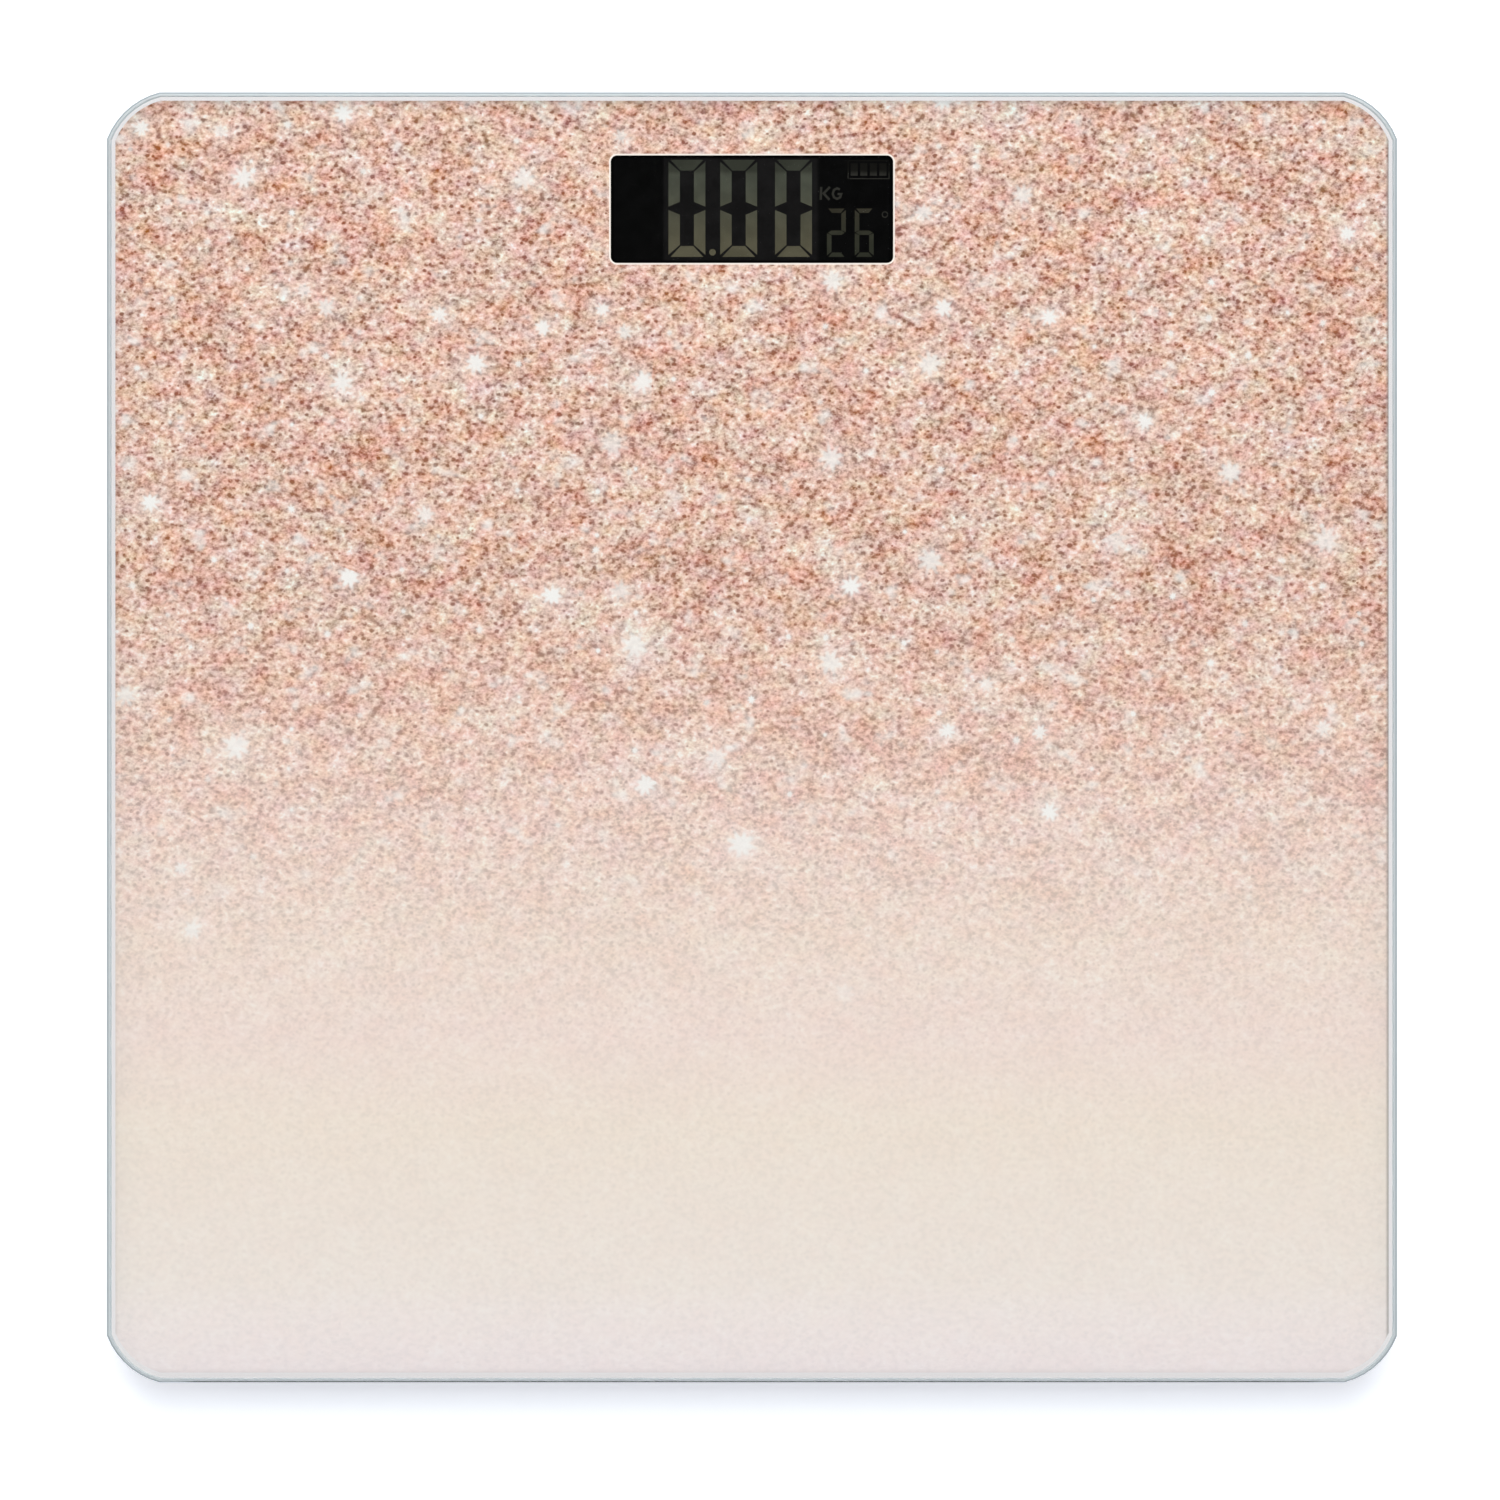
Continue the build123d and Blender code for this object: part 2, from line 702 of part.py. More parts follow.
def make_thermistor():
    """Bead on two legs, held out from the board's front edge to feel the room's air."""
    axis = pcb_top + thermistor_leg_radius
    thermistor = Pos(thermistor_x, thermistor_y, axis) * Sphere(thermistor_radius)
    leg_length = thermistor_reach + wire_pad_inset
    leg = Rot(90, 0, 0) * Cylinder(thermistor_leg_radius, leg_length)
    for side in (-1, 1):
        leg_x = thermistor_x + side * thermistor_radius / 2
        thermistor += Pos(leg_x, thermistor_y + leg_length / 2, axis) * leg
    return thermistor


# Unit button


def button_disc(radius, z_low, z_high):
    return disc(radius, z_low, z_high, button_x, button_y)


def make_unit_button():
    cap = button_disc(button_radius, tray_bottom, flange_low)
    cap = fillet(cap.edges().group_by(Axis.Z)[0], button_flange_thickness / 2)
    return cap + button_disc(button_radius + button_flange_lap, flange_low, flange_high)


def make_switch_plunger():
    return button_disc(plunger_radius, flange_high, flange_high + plunger_shown + plunger_hidden)


def make_unit_switch():
    """Switch body with a blind bore that the plunger slides in."""
    switch_bottom = pcb_bottom - switch_height
    bore_top = switch_bottom + plunger_hidden + button_travel + fit_gap
    body = Pos(button_x, button_y, pcb_bottom - switch_height / 2)
    body *= Box(switch_side, switch_side, switch_height)
    return body - button_disc(plunger_radius + bore_gap, switch_bottom, bore_top)


# Batteries and their contacts


def make_battery(side):
    """AAA cell, its nub towards +X on the rear cell (side 1) and towards -X on the front one."""
    case_length = battery_length - battery_nub_length
    case = Cylinder(battery_radius, case_length)
    case = fillet(case.edges(), battery_play)
    nub_z = case_length / 2 + battery_nub_length / 2
    nub = Pos(0, 0, nub_z) * Cylinder(battery_nub_radius, battery_nub_length)
    upright = Pos(0, 0, -battery_nub_length / 2) * (case + nub)
    nub_tip_x = bay_half_x - contact_thickness
    centre_x = side * (nub_tip_x - battery_length / 2)
    y = bay_centre_y + side * battery_step
    return Pos(centre_x, y, battery_axis) * Rot(0, side * 90, 0) * upright


def contact_plate(side_x, y_low, y_high):
    """Flat contact against one end wall of the bay."""
    outer = side_x * bay_half_x
    inner = side_x * (bay_half_x - contact_thickness)
    levels = (battery_axis - contact_height / 2, battery_axis + contact_height / 2)
    return box(sorted((outer, inner)), (y_low, y_high), levels)


def battery_wire_x(side):
    """Lane of the wire from the rear (side 1) or front (side -1) contact."""
    near = bay_half_x + bay_wall + battery_wire_gap
    return near if side > 0 else near + battery_wire_pitch


def contact_tab(side):
    """Solder tab through the bay's +X wall, with a wire lying on it."""
    y = bay_centre_y + side * battery_step
    end_x = battery_wire_x(side) + tab_overhang
    return box(
        (bay_half_x - contact_thickness, end_x),
        (y - tab_width / 2, y + tab_width / 2),
        (tab_top - contact_thickness, tab_top),
    )


def contact_spring(side_x, y):
    """Conical spring from a contact plate to a cell's flat end, with a closed ring at its tip."""
    coil_height = spring_length - spring_wire_radius
    lean = (spring_base_radius - spring_tip_radius) / spring_turns
    points = []
    steps = 12
    for step in range(int(spring_turns * steps) + 1):
        turn = step / steps
        radius = spring_base_radius - lean * turn
        height = coil_height * turn / spring_turns
        points.append(Vector(radius, 0, height).rotate(Axis.Z, 360 * turn))
    path = Spline(*points)
    section = Plane(origin=path @ 0, z_dir=path % 0) * Circle(spring_wire_radius)
    coil = sweep(section, path=path, is_frenet=True)
    ring = Pos(0, 0, coil_height) * Torus(spring_tip_radius, spring_wire_radius)
    base_x = side_x * (bay_half_x - contact_thickness)
    return Pos(base_x, y, battery_axis) * Rot(0, -side_x * 90, 0) * (coil + ring)


def make_contacts():
    """Bridge at the -X end, and the positive and negative contacts at the +X end."""
    rear_y = bay_centre_y + battery_step
    front_y = bay_centre_y - battery_step
    half = contact_width / 2
    bridge = contact_plate(-1, front_y - half, rear_y + half) + contact_spring(-1, rear_y)
    positive = contact_plate(1, rear_y - half, rear_y + half) + contact_tab(1)
    negative = contact_plate(1, front_y - half, front_y + half) + contact_tab(-1)
    return bridge, positive, negative + contact_spring(1, front_y)


def make_battery_door():
    """Lid with a rounded hinge edge, two hinge pins, grip grooves and a finger notch."""
    half_x = recess_half_x - door_gap
    front_y = bay_centre_y - recess_half_y + door_gap
    door = box((-half_x, half_x), (front_y, hinge_y), (door_bottom, door_top))
    barrel = Cylinder(door_thickness / 2, 2 * half_x)
    pins = Cylinder(door_thickness / 2 - bore_gap, 2 * (recess_half_x + pin_length - fit_gap))
    door += Pos(0, hinge_y, hinge_axis) * Rot(0, 90, 0) * (barrel + pins)
    notch_x = (-finger_notch_width / 2, finger_notch_width / 2)
    door -= box(notch_x, (front_y, front_y + finger_notch_depth), (door_bottom, hinge_axis))
    for number in range(grip_count):
        y = front_y + finger_notch_depth + 2 * grip_width * (number + 1)
        groove_x = (-grip_length / 2, grip_length / 2)
        door -= box(groove_x, (y, y + grip_width), (door_bottom, door_bottom + grip_depth))
    return door


# Wires


def wire(path):
    return sweep(Plane(origin=path @ 0, z_dir=path % 0) * Circle(wire_radius), path=path)


def make_cell_lead(side_y):
    """Three wires from the left front or left rear load cell to the board's left edge."""
    start_x = -foot_x + potting_end_x
    start_y = side_y * foot_y
    end_x = -pcb_half_width + wire_pad_side_inset
    if side_y < 0:
        lane, end_y, first_bend = -front_lane_x, pcb_front + front_wire_step, front_wire_bend
    else:
        lane, end_y, first_bend = -rear_lane_x, foot_y + rear_wire_step, board_wire_bend
    wires = []
    for offset in (-wire_pitch, 0, wire_pitch):
        path = FilletPolyline(
            (start_x, start_y + offset, cell_wire_axis),
            (lane - offset, start_y + offset, cell_wire_axis),
            (lane - offset, end_y + offset, board_wire_axis),
            (end_x, end_y + offset, board_wire_axis),
            radius=(first_bend, board_wire_bend),
        )
        wires.append(wire(path))
    return wires


def make_battery_lead(side):
    """Straight wire from a contact's tab to the board's front edge."""
    x = battery_wire_x(side)
    start_y = bay_centre_y + side * battery_step - tab_width / 2
    end_y = pcb_front + wire_pad_inset
    return wire(Line((x, start_y, board_wire_axis), (x, end_y, board_wire_axis)))


bridge_contact, positive_contact, negative_contact = make_contacts()
nodes = {
    "glass_platform": make_glass_platform(),
    "print_layer": make_print_layer(),
    "bond_tape": make_bond_tape(),
    "base_tray": make_base_tray(),
    "rating_label": make_rating_label(),
    "display_filter": make_display_filter(),
    "lcd_gasket": make_lcd_gasket(),
    "lcd_cell": make_lcd_cell(),
    "lcd_backlight": make_lcd_backlight(),
    "lcd_holder": make_lcd_holder(),
    "zebra_strip": make_zebra_strip(),
    "main_pcb": make_main_pcb(),
    "pcb_screws": group(make_pcb_screws()),
    "chip_blob": make_chip_blob(),
    "pcb_components": group(make_pcb_components()),
    "thermistor": make_thermistor(),
    "unit_switch": make_unit_switch(),
    "switch_plunger": make_switch_plunger(),
    "unit_button": make_unit_button(),
    "battery_rear": make_battery(1),
    "battery_front": make_battery(-1),
    "battery_bridge_contact": bridge_contact,
    "battery_positive_contact": positive_contact,
    "battery_negative_contact": negative_contact,
    "battery_leads": group([make_battery_lead(1), make_battery_lead(-1)]),
    "battery_door": make_battery_door(),
}
for name, side_x, side_y in feet_places():
    nodes["load_cell_" + name] = at_foot(make_load_cell(), side_x, side_y)
    nodes["gauge_potting_" + name] = at_foot(make_gauge_potting(), side_x, side_y)
    nodes["cell_bracket_" + name] = at_foot(make_cell_bracket(), side_x, side_y)
    nodes["foot_cup_" + name] = at_foot(make_foot_cup(), side_x, side_y)
    nodes["foot_pad_" + name] = at_foot(make_foot_pad(), side_x, side_y)
    lead = make_cell_lead(side_y)
    if side_x > 0:
        lead = [mirror(each, about=Plane.YZ) for each in lead]
    nodes["cell_lead_" + name] = group(lead)
nodes["bracket_screws"] = group(
    placed for each in make_bracket_screws() for placed in at_each_foot(each)
)

os.makedirs("parts", exist_ok=True)
for name, piece in nodes.items():
    export_step(piece, f"parts/{name}.step")
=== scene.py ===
"""Looks of the digital bathroom scale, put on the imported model."""

import math

import bmesh
import bpy
from mathutils import Matrix, Vector


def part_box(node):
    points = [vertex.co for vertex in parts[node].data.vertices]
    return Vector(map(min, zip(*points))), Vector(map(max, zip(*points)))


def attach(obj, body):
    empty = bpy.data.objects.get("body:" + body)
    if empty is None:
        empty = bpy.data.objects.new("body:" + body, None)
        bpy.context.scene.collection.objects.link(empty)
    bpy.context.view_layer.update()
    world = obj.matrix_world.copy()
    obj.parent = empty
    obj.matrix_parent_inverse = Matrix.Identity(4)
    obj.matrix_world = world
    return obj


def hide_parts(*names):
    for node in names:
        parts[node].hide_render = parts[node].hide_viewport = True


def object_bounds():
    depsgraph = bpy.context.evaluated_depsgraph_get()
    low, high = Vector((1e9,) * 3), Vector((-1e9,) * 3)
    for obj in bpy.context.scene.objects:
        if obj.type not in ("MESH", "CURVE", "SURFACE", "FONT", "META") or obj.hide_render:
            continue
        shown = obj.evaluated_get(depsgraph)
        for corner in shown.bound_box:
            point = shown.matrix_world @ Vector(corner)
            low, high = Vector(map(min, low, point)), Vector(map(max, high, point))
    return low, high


MM = 0.001

# The window in the print, about the middle of the display's film
WINDOW_HALF_X = 30.7 * MM
WINDOW_HALF_Y = 11.7 * MM
WINDOW_RADIUS = 1.4 * MM

GLASS_CHAMFER = 0.8 * MM

# The printed layer against its CAD solid
PRINT_SINK = 0.03 * MM  # how far it is sunk into the glass
PRINT_SHIFT = 0.16 * MM  # how far its outer edge lies to the rear
PRINT_SPREAD_X = 0.22 * MM  # how much further out that edge reaches at either side
PRINT_SPREAD_Y = 0.07 * MM  # and at the front and the rear
PRINT_OUTER = 130 * MM  # what lies beyond this, in x or y, is the outer edge

# Figures of the display, drawn in millimetres
FIGURE_THICKNESS = 0.05
FIGURES_FORWARD = 10.35  # from the middle of the film to the front ends of the figures
DIGIT = {"width": 8.02, "height": 21.1, "bar": 2.48, "cap": 2.35, "gap": 0.32, "waist": 0.72}
DIGIT_LEFTS = (-18.15, -6.90, 5.02)
SIDE_DIGIT = {"width": 4.1, "height": 10.5, "bar": 0.98, "cap": 0.95, "gap": 0.22, "waist": 0.22}
SIDE_DIGITS = ((16.3, "abged"), (22.35, "afgedc"))  # left side, lit segments

# Light
FLOOR_LIFT = 0.39  # light that the floor gives off, so that it shows white
AMBIENT = 0.36
LAMPS = (  # name, place, side, power
    ("rear_lamp", (0.0, 1.17, 2.41), 1.34, 49.5),
    ("left_lamp", (-1.1, 0.10, 1.5), 0.9, 3.05),
    ("right_lamp", (1.1, 0.10, 1.5), 0.9, 3.05),
)

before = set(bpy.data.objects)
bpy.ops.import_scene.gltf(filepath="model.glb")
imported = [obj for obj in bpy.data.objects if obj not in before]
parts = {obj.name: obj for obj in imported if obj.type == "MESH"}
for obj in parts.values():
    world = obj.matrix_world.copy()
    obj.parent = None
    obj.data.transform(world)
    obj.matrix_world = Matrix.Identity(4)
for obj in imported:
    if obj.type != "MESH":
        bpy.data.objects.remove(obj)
cad_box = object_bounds()
scene = bpy.context.scene


# Colours and node trees


def rgb(red, green, blue):
    """Linear colour from a colour written in 0 to 255."""
    channels = []
    for value in (red, green, blue):
        share = value / 255
        channels.append(share / 12.92 if share <= 0.04045 else ((share + 0.055) / 1.055) ** 2.4)
    return (*channels, 1.0)


def grey(level):
    """Neutral colour of a linear level."""
    return (level, level, level, 1.0)


class Graph:
    """Node tree of a material or a world, with a short call for each kind of node used here."""

    def __init__(self, owner, output="ShaderNodeOutputMaterial"):
        owner.use_nodes = True
        self.owner = owner
        self.tree = owner.node_tree
        self.tree.nodes.clear()
        self.output = self.add(output)

    def add(self, kind, inputs=None, **settings):
        """A node, with a link or a value for each input named."""
        node = self.tree.nodes.new(kind)
        for key, value in settings.items():
            setattr(node, key, value)
        for key, value in (inputs or {}).items():
            if isinstance(value, bpy.types.NodeSocket):
                self.tree.links.new(value, node.inputs[key])
            elif value is not None:
                node.inputs[key].default_value = value
        return node

    def math(self, operation, a, b=None, clamp=False):
        """Number worked out from one or two others."""
        return self.add("ShaderNodeMath", {0: a, 1: b}, operation=operation, use_clamp=clamp).outputs[0]

    def vector(self, operation, a, b=None):
        """Vector worked out from one or two others."""
        return self.add("ShaderNodeVectorMath", {0: a, 1: b}, operation=operation).outputs[0]

    def scaled(self, vector, factor):
        """Vector or colour times a number."""
        return self.add("ShaderNodeVectorMath", {0: vector, "Scale": factor}, operation="SCALE").outputs[0]

    def length(self, vector):
        """Length of a vector."""
        return self.add("ShaderNodeVectorMath", {0: vector}, operation="LENGTH").outputs["Value"]

    def split(self, vector):
        """The x, y and z of a vector."""
        return self.add("ShaderNodeSeparateXYZ", {0: vector}).outputs

    def join(self, x=0.0, y=0.0, z=0.0):
        """Vector of three numbers."""
        return self.add("ShaderNodeCombineXYZ", {0: x, 1: y, 2: z}).outputs[0]

    def mix(self, factor, a, b):
        """Colour between two others."""
        return self.add("ShaderNodeMix", {0: factor, 6: a, 7: b}, data_type="RGBA").outputs[2]

    def mix_shaders(self, factor, a, b):
        """Shader between two others."""
        return self.add("ShaderNodeMixShader", {0: factor, 1: a, 2: b}).outputs[0]

    def remap(self, value, low, high, to_low=0.0, to_high=1.0, smooth=True):
        """The value carried from one range to another, and held at its ends."""
        node = self.add(
            "ShaderNodeMapRange",
            {0: value, 1: low, 2: high, 3: to_low, 4: to_high},
            interpolation_type="SMOOTHSTEP" if smooth else "LINEAR",
        )
        return node.outputs[0]

    def spread(self, noise, to_low=0.0, to_high=1.0):
        """The range that most of a noise lies in, carried to another."""
        return self.remap(noise, 0.3, 0.7, to_low, to_high)

    def ramp(self, value, stops, interpolation="LINEAR"):
        """Colour by value, from (value, colour) pairs between 0 and 1."""
        node = self.add("ShaderNodeValToRGB", {0: value})
        node.color_ramp.interpolation = interpolation
        elements = node.color_ramp.elements
        for position, _ in stops[2:]:
            elements.new(position)
        for element, (position, _) in zip(elements, stops):
            element.position = position
        for element, (_, colour) in zip(elements, stops):
            element.color = colour
        return node.outputs[0]

    def point(self, shift=(0.0, 0.0, 0.0)):
        """Place on the object, in metres, moved by a fixed amount so that patterns differ."""
        return self.vector("ADD", self.add("ShaderNodeTexCoord").outputs["Object"], shift)

    def normal(self):
        """Direction that the surface faces."""
        return self.add("ShaderNodeNewGeometry").outputs["Normal"]

    def noise(self, vector, per_metre, detail=2.0, roughness=0.5, dimensions="3D", output=0):
        """Noise between 0 and 1; output 1 is its colour."""
        node = self.add(
            "ShaderNodeTexNoise",
            {"Vector": vector, "Scale": per_metre, "Detail": detail, "Roughness": roughness},
            noise_dimensions=dimensions,
        )
        return node.outputs[output]

    def bump(self, height, distance):
        """Direction of a surface raised by a height."""
        return self.add("ShaderNodeBump", {"Height": height, "Distance": distance}).outputs[0]

    def shader(self, **inputs):
        """Principled shader; input names have _ for spaces."""
        named = {key.replace("_", " "): value for key, value in inputs.items()}
        return self.add("ShaderNodeBsdfPrincipled", named).outputs[0]

    def finish(self, shader):
        """Puts the shader on the surface and gives back the material or the world."""
        self.tree.links.new(shader, self.output.inputs["Surface"])
        return self.owner


def material_graph(name):
    """Empty graph of a new material."""
    return Graph(bpy.data.materials.new(name))


def moulded(name, colour, shade, roughness, grain=2500.0, depth=0.01, cloud=60.0):
    """Material with clouded colour between two shades, uneven gloss and fine surface grain."""
    g = material_graph(name)
    clouds = g.noise(g.point(), cloud, 3.0, 0.6)
    fine = g.noise(g.point((0.31, 0.17, 0.05)), grain, 2.0, 0.6)
    tone = g.mix(g.spread(clouds), colour, shade)
    rough = g.remap(fine, 0.25, 0.75, roughness * 0.85, min(1.0, roughness * 1.15))
    return g.finish(g.shader(Base_Color=tone, Roughness=rough, Normal=g.bump(fine, depth * MM)))


def wear(node, material):
    """Gives a CAD node its material."""
    mesh = parts[node].data
    mesh.materials.clear()
    mesh.materials.append(material)


def new_piece(name, mesh, material, body):
    """Links a new mesh as a piece of a body."""
    piece = bpy.data.objects.new(name, mesh)
    scene.collection.objects.link(piece)
    mesh.materials.clear()
    mesh.materials.append(material)
    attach(piece, body)
    return piece


# The printed layer under the glass

# Noises are stretched along X and turned against each other, so that no two grids line up
STRETCH = (0.92, 1.14, 1.0)
BROAD_STRETCH = (0.8, 1.25, 1.0)

# Colours of the grain, from its darkest to its brightest
GRAINS = (
    (0.068, (146, 105, 89)), (0.172, (170, 131, 114)), (0.295, (192, 155, 139)),
    (0.393, (208, 171, 155)), (0.5, (222, 187, 170)), (0.607, (233, 200, 184)),
    (0.705, (240, 211, 195)), (0.828, (245, 224, 211)), (0.932, (248, 237, 228)),
)
GRAIN_MIDDLE = rgb(219, 187, 172)  # what a single grain strays from

# How strongly the grain shows and the ground it shows on, from the front edge (0) to the rear (1)
GRAIN_STRENGTH = (
    (0.0, 0.10), (0.14, 0.09), (0.25, 0.13), (0.34, 0.29), (0.40, 0.46),
    (0.46, 0.62), (0.525, 0.77), (0.61, 0.93), (0.78, 1.0),
)
GROUND = (
    (0.0, (237, 225, 224)), (0.055, (237, 226, 220)), (0.075, (236, 225, 216)),
    (0.20, (236, 222, 208)), (0.27, (236, 217, 207)), (0.34, (234, 215, 202)),
    (0.43, (230, 204, 192)), (0.525, (225, 193, 178)), (0.62, (219, 184, 168)),
)

# Noises that colour the grain: turn, shift, grains per metre, detail, roughness, coral, gold
HUES = (
    (71, (3.0177, 1.0391, 0.0), 600, 1.0, 0.5, 0.09, 0.10),
    (41, (7.0213, 5.0671, 0.0), 190, 1.0, 0.6, 0.42, 0.20),
    (26, (2.0319, 8.0537, 0.0), 55, 3.0, 0.6, 0.18, 0.10),
)


def from_window(g, point):
    """Distance to the window's rounded outline, negative inside it."""
    low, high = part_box("display_filter")
    middle = (low + high) / 2
    x, y = g.split(point)[:2]
    aside = g.math("ABSOLUTE", g.math("SUBTRACT", x, middle.x))
    aside = g.math("SUBTRACT", aside, WINDOW_HALF_X - WINDOW_RADIUS)
    ahead = g.math("ABSOLUTE", g.math("SUBTRACT", y, middle.y))
    ahead = g.math("SUBTRACT", ahead, WINDOW_HALF_Y - WINDOW_RADIUS)
    outer = g.length(g.join(g.math("MAXIMUM", aside, 0.0), g.math("MAXIMUM", ahead, 0.0)))
    inner = g.math("MINIMUM", g.math("MAXIMUM", aside, ahead), 0.0)
    return g.math("SUBTRACT", g.math("ADD", outer, inner), WINDOW_RADIUS)


def flat_noise(g, degrees, shift, per_metre, detail, roughness, stretch=STRETCH, output=0):
    """Noise that is the same at every height, on a grid shifted, stretched and turned about Z."""
    place = g.vector("MULTIPLY", g.point(shift), stretch)
    inputs = {"Vector": place, "Angle": math.radians(degrees)}
    place = g.add("ShaderNodeVectorRotate", inputs, rotation_type="Z_AXIS").outputs[0]
    return g.noise(place, per_metre, detail, roughness, "2D", output)


def grain_layer(g, *values):
    """Flat noise about zero."""
    return g.math("SUBTRACT", flat_noise(g, *values), 0.5)


def cells_at(g, per_metre, shift, stretch=(1.0, 1.0, 1.0)):
    """Random cells over the print: the way from the nearest centre, and that cell's chances."""
    point = g.vector("MULTIPLY", g.point(shift), stretch)
    cells = g.add(
        "ShaderNodeTexVoronoi", {"Vector": point, "Scale": per_metre, "Randomness": 1.0},
        voronoi_dimensions="2D",
    )
    x, y = g.split(g.vector("SUBTRACT", point, cells.outputs["Position"]))[:2]
    chances = g.add("ShaderNodeSeparateColor", {0: cells.outputs["Color"]}).outputs
    return g.join(x, y), chances


def sparkles(g, per_metre, share, core, shift):
    """Fuzzy white star, with short rays, at a random place in some of the cells."""
    rays, ray_reach = 8.0, 0.22
    ragged_by = 0.8
    halo_level, halo_fall = 0.8, 0.36
    few_till, all_from, fewest = -62 * MM, 22 * MM, 0.15  # stars are rarer towards the front
    away, chance = cells_at(g, per_metre, shift)
    x, y = g.split(away)[:2]
    strength = g.remap(chance[0], 1.0 - share, 1.0, 0.55, 1.0, smooth=False)
    strength = g.math("MULTIPLY", g.math("GREATER_THAN", chance[0], 1.0 - share), strength)
    centre_y = g.math("SUBTRACT", g.split(g.point())[1], y)
    kept = g.remap(centre_y, few_till, all_from, fewest, 1.0)
    strength = g.math("MULTIPLY", g.math("LESS_THAN", chance[2], kept), strength)
    size = g.remap(chance[1], 0.0, 1.0, 0.6, 1.15, smooth=False)
    ragged = g.noise(g.point((4.0, 6.0, 0.0)), 650, 2.0, 0.6, "2D")
    radius = g.math("DIVIDE", g.length(away), g.math("MULTIPLY", size, core))
    radius = g.math("ADD", radius, g.math("MULTIPLY", g.math("SUBTRACT", ragged, 0.5), ragged_by))
    angle = g.math("ARCTAN2", y, x)
    turn = g.math("ADD", g.math("MULTIPLY", angle, rays), g.math("MULTIPLY", chance[2], 6.0))
    reach = g.math("ADD", g.math("MULTIPLY", g.math("COSINE", turn), ray_reach), 1.0)
    centre = g.remap(g.math("DIVIDE", radius, reach), 0.45, 1.30, 1.0, 0.0)
    halo = g.math("POWER", halo_fall, g.math("MAXIMUM", radius, 0.0))
    halo = g.math("MULTIPLY", halo, halo_level)
    return g.math("MULTIPLY", g.math("MAXIMUM", centre, halo), strength, clamp=True)


def specks(g, per_metre, reach, shift):
    """Small dark grain near the middle of most cells, 1 in its middle."""
    away, chance = cells_at(g, per_metre, shift, STRETCH)
    size = g.remap(chance[0], 0.0, 1.0, 0.45 * reach, reach, smooth=False)
    inside = g.remap(g.math("DIVIDE", g.length(away), size), 0.35, 1.0, 1.0, 0.0)
    return g.math("MULTIPLY", inside, chance[1])


def hue_shift(g, noise, warm, yellow):
    """Small colour offset, along coral and along yellow, from two channels of a noise."""
    x, y = g.split(g.vector("SUBTRACT", noise, (0.5, 0.5, 0.5)))[:2]
    coral = g.scaled((0.22, -0.5, -0.55), g.math("MULTIPLY", x, warm))
    gold = g.scaled((0.1, 0.25, -0.45), g.math("MULTIPLY", y, yellow))
    return g.vector("ADD", coral, gold)


def grain_hue(g, grain, middle, broad):
    """Colour offset of the grain: stray hues, and warmer where the coarser grain is dark."""
    shifts = [
        hue_shift(g, flat_noise(g, *values, output=1), warm, yellow)
        for *values, warm, yellow in HUES
    ]
    follow = g.math("ADD", g.math("MULTIPLY", middle, -0.06), g.math("MULTIPLY", broad, -0.18))
    shifts.append(g.scaled((0.3, -0.55, -0.6), follow))
    hue = shifts[0]
    for shift in shifts[1:]:
        hue = g.vector("ADD", hue, shift)
    return g.scaled(hue, g.math("ADD", g.math("MULTIPLY", g.split(grain)[1], 1.1), 0.35))


def glitter_colour(g):
    """Rose-gold glitter that fades into smooth cream towards the front edge."""
    height = g.remap(g.split(g.point())[1], -0.14, 0.14, smooth=False)
    fine = grain_layer(g, 33, (0.4137, 0.7713, 0.0), 700, 2.0, 0.68)
    middle = grain_layer(g, 58, (0.9171, 0.2339, 0.0), 200, 2.0, 0.6)
    broad = grain_layer(g, 17, (0.3571, 0.6153, 0.0), 60, 3.0, 0.6, BROAD_STRETCH)
    level = g.math("ADD", g.math("MULTIPLY", fine, 1.58), g.math("MULTIPLY", middle, 0.48))
    level = g.math("ADD", level, g.math("MULTIPLY", broad, 0.36))
    dark = specks(g, 560, 0.72 * MM, (2.0, 3.0, 0.0))
    level = g.math("SUBTRACT", level, g.math("MULTIPLY", dark, 0.48))
    grain = g.ramp(g.math("ADD", level, 0.505), [(place, rgb(*colour)) for place, colour in GRAINS])
    colour = g.vector("ADD", grain, grain_hue(g, grain, middle, broad))
    change = g.vector("SUBTRACT", colour, GRAIN_MIDDLE[:3])
    strength = g.ramp(height, [(place, grey(share)) for place, share in GRAIN_STRENGTH])
    ground = g.ramp(height, [(place, rgb(*colour)) for place, colour in GROUND])
    colour = g.vector("ADD", ground, g.scaled(change, strength))

    patches = g.remap(flat_noise(g, 49, (11.0, 2.0, 0.0), 150, 2.0, 0.6), 0.58, 0.86, 0.0, 0.75)
    small = sparkles(g, 120, 0.24, 0.75 * MM, (1.0, 4.0, 0.0))
    large = sparkles(g, 46, 0.42, 2.6 * MM, (5.0, 9.0, 0.0))
    extra = sparkles(g, 34, 0.34, 2.2 * MM, (8.0, 1.0, 0.0))
    dust = g.math("MULTIPLY", g.math("MAXIMUM", patches, small), g.remap(height, 0.28, 0.52))
    stars = g.math("MULTIPLY", g.math("MAXIMUM", large, extra), g.remap(height, 0.25, 0.38))
    return g.mix(g.math("MAXIMUM", dust, stars), colour, rgb(241, 238, 233))


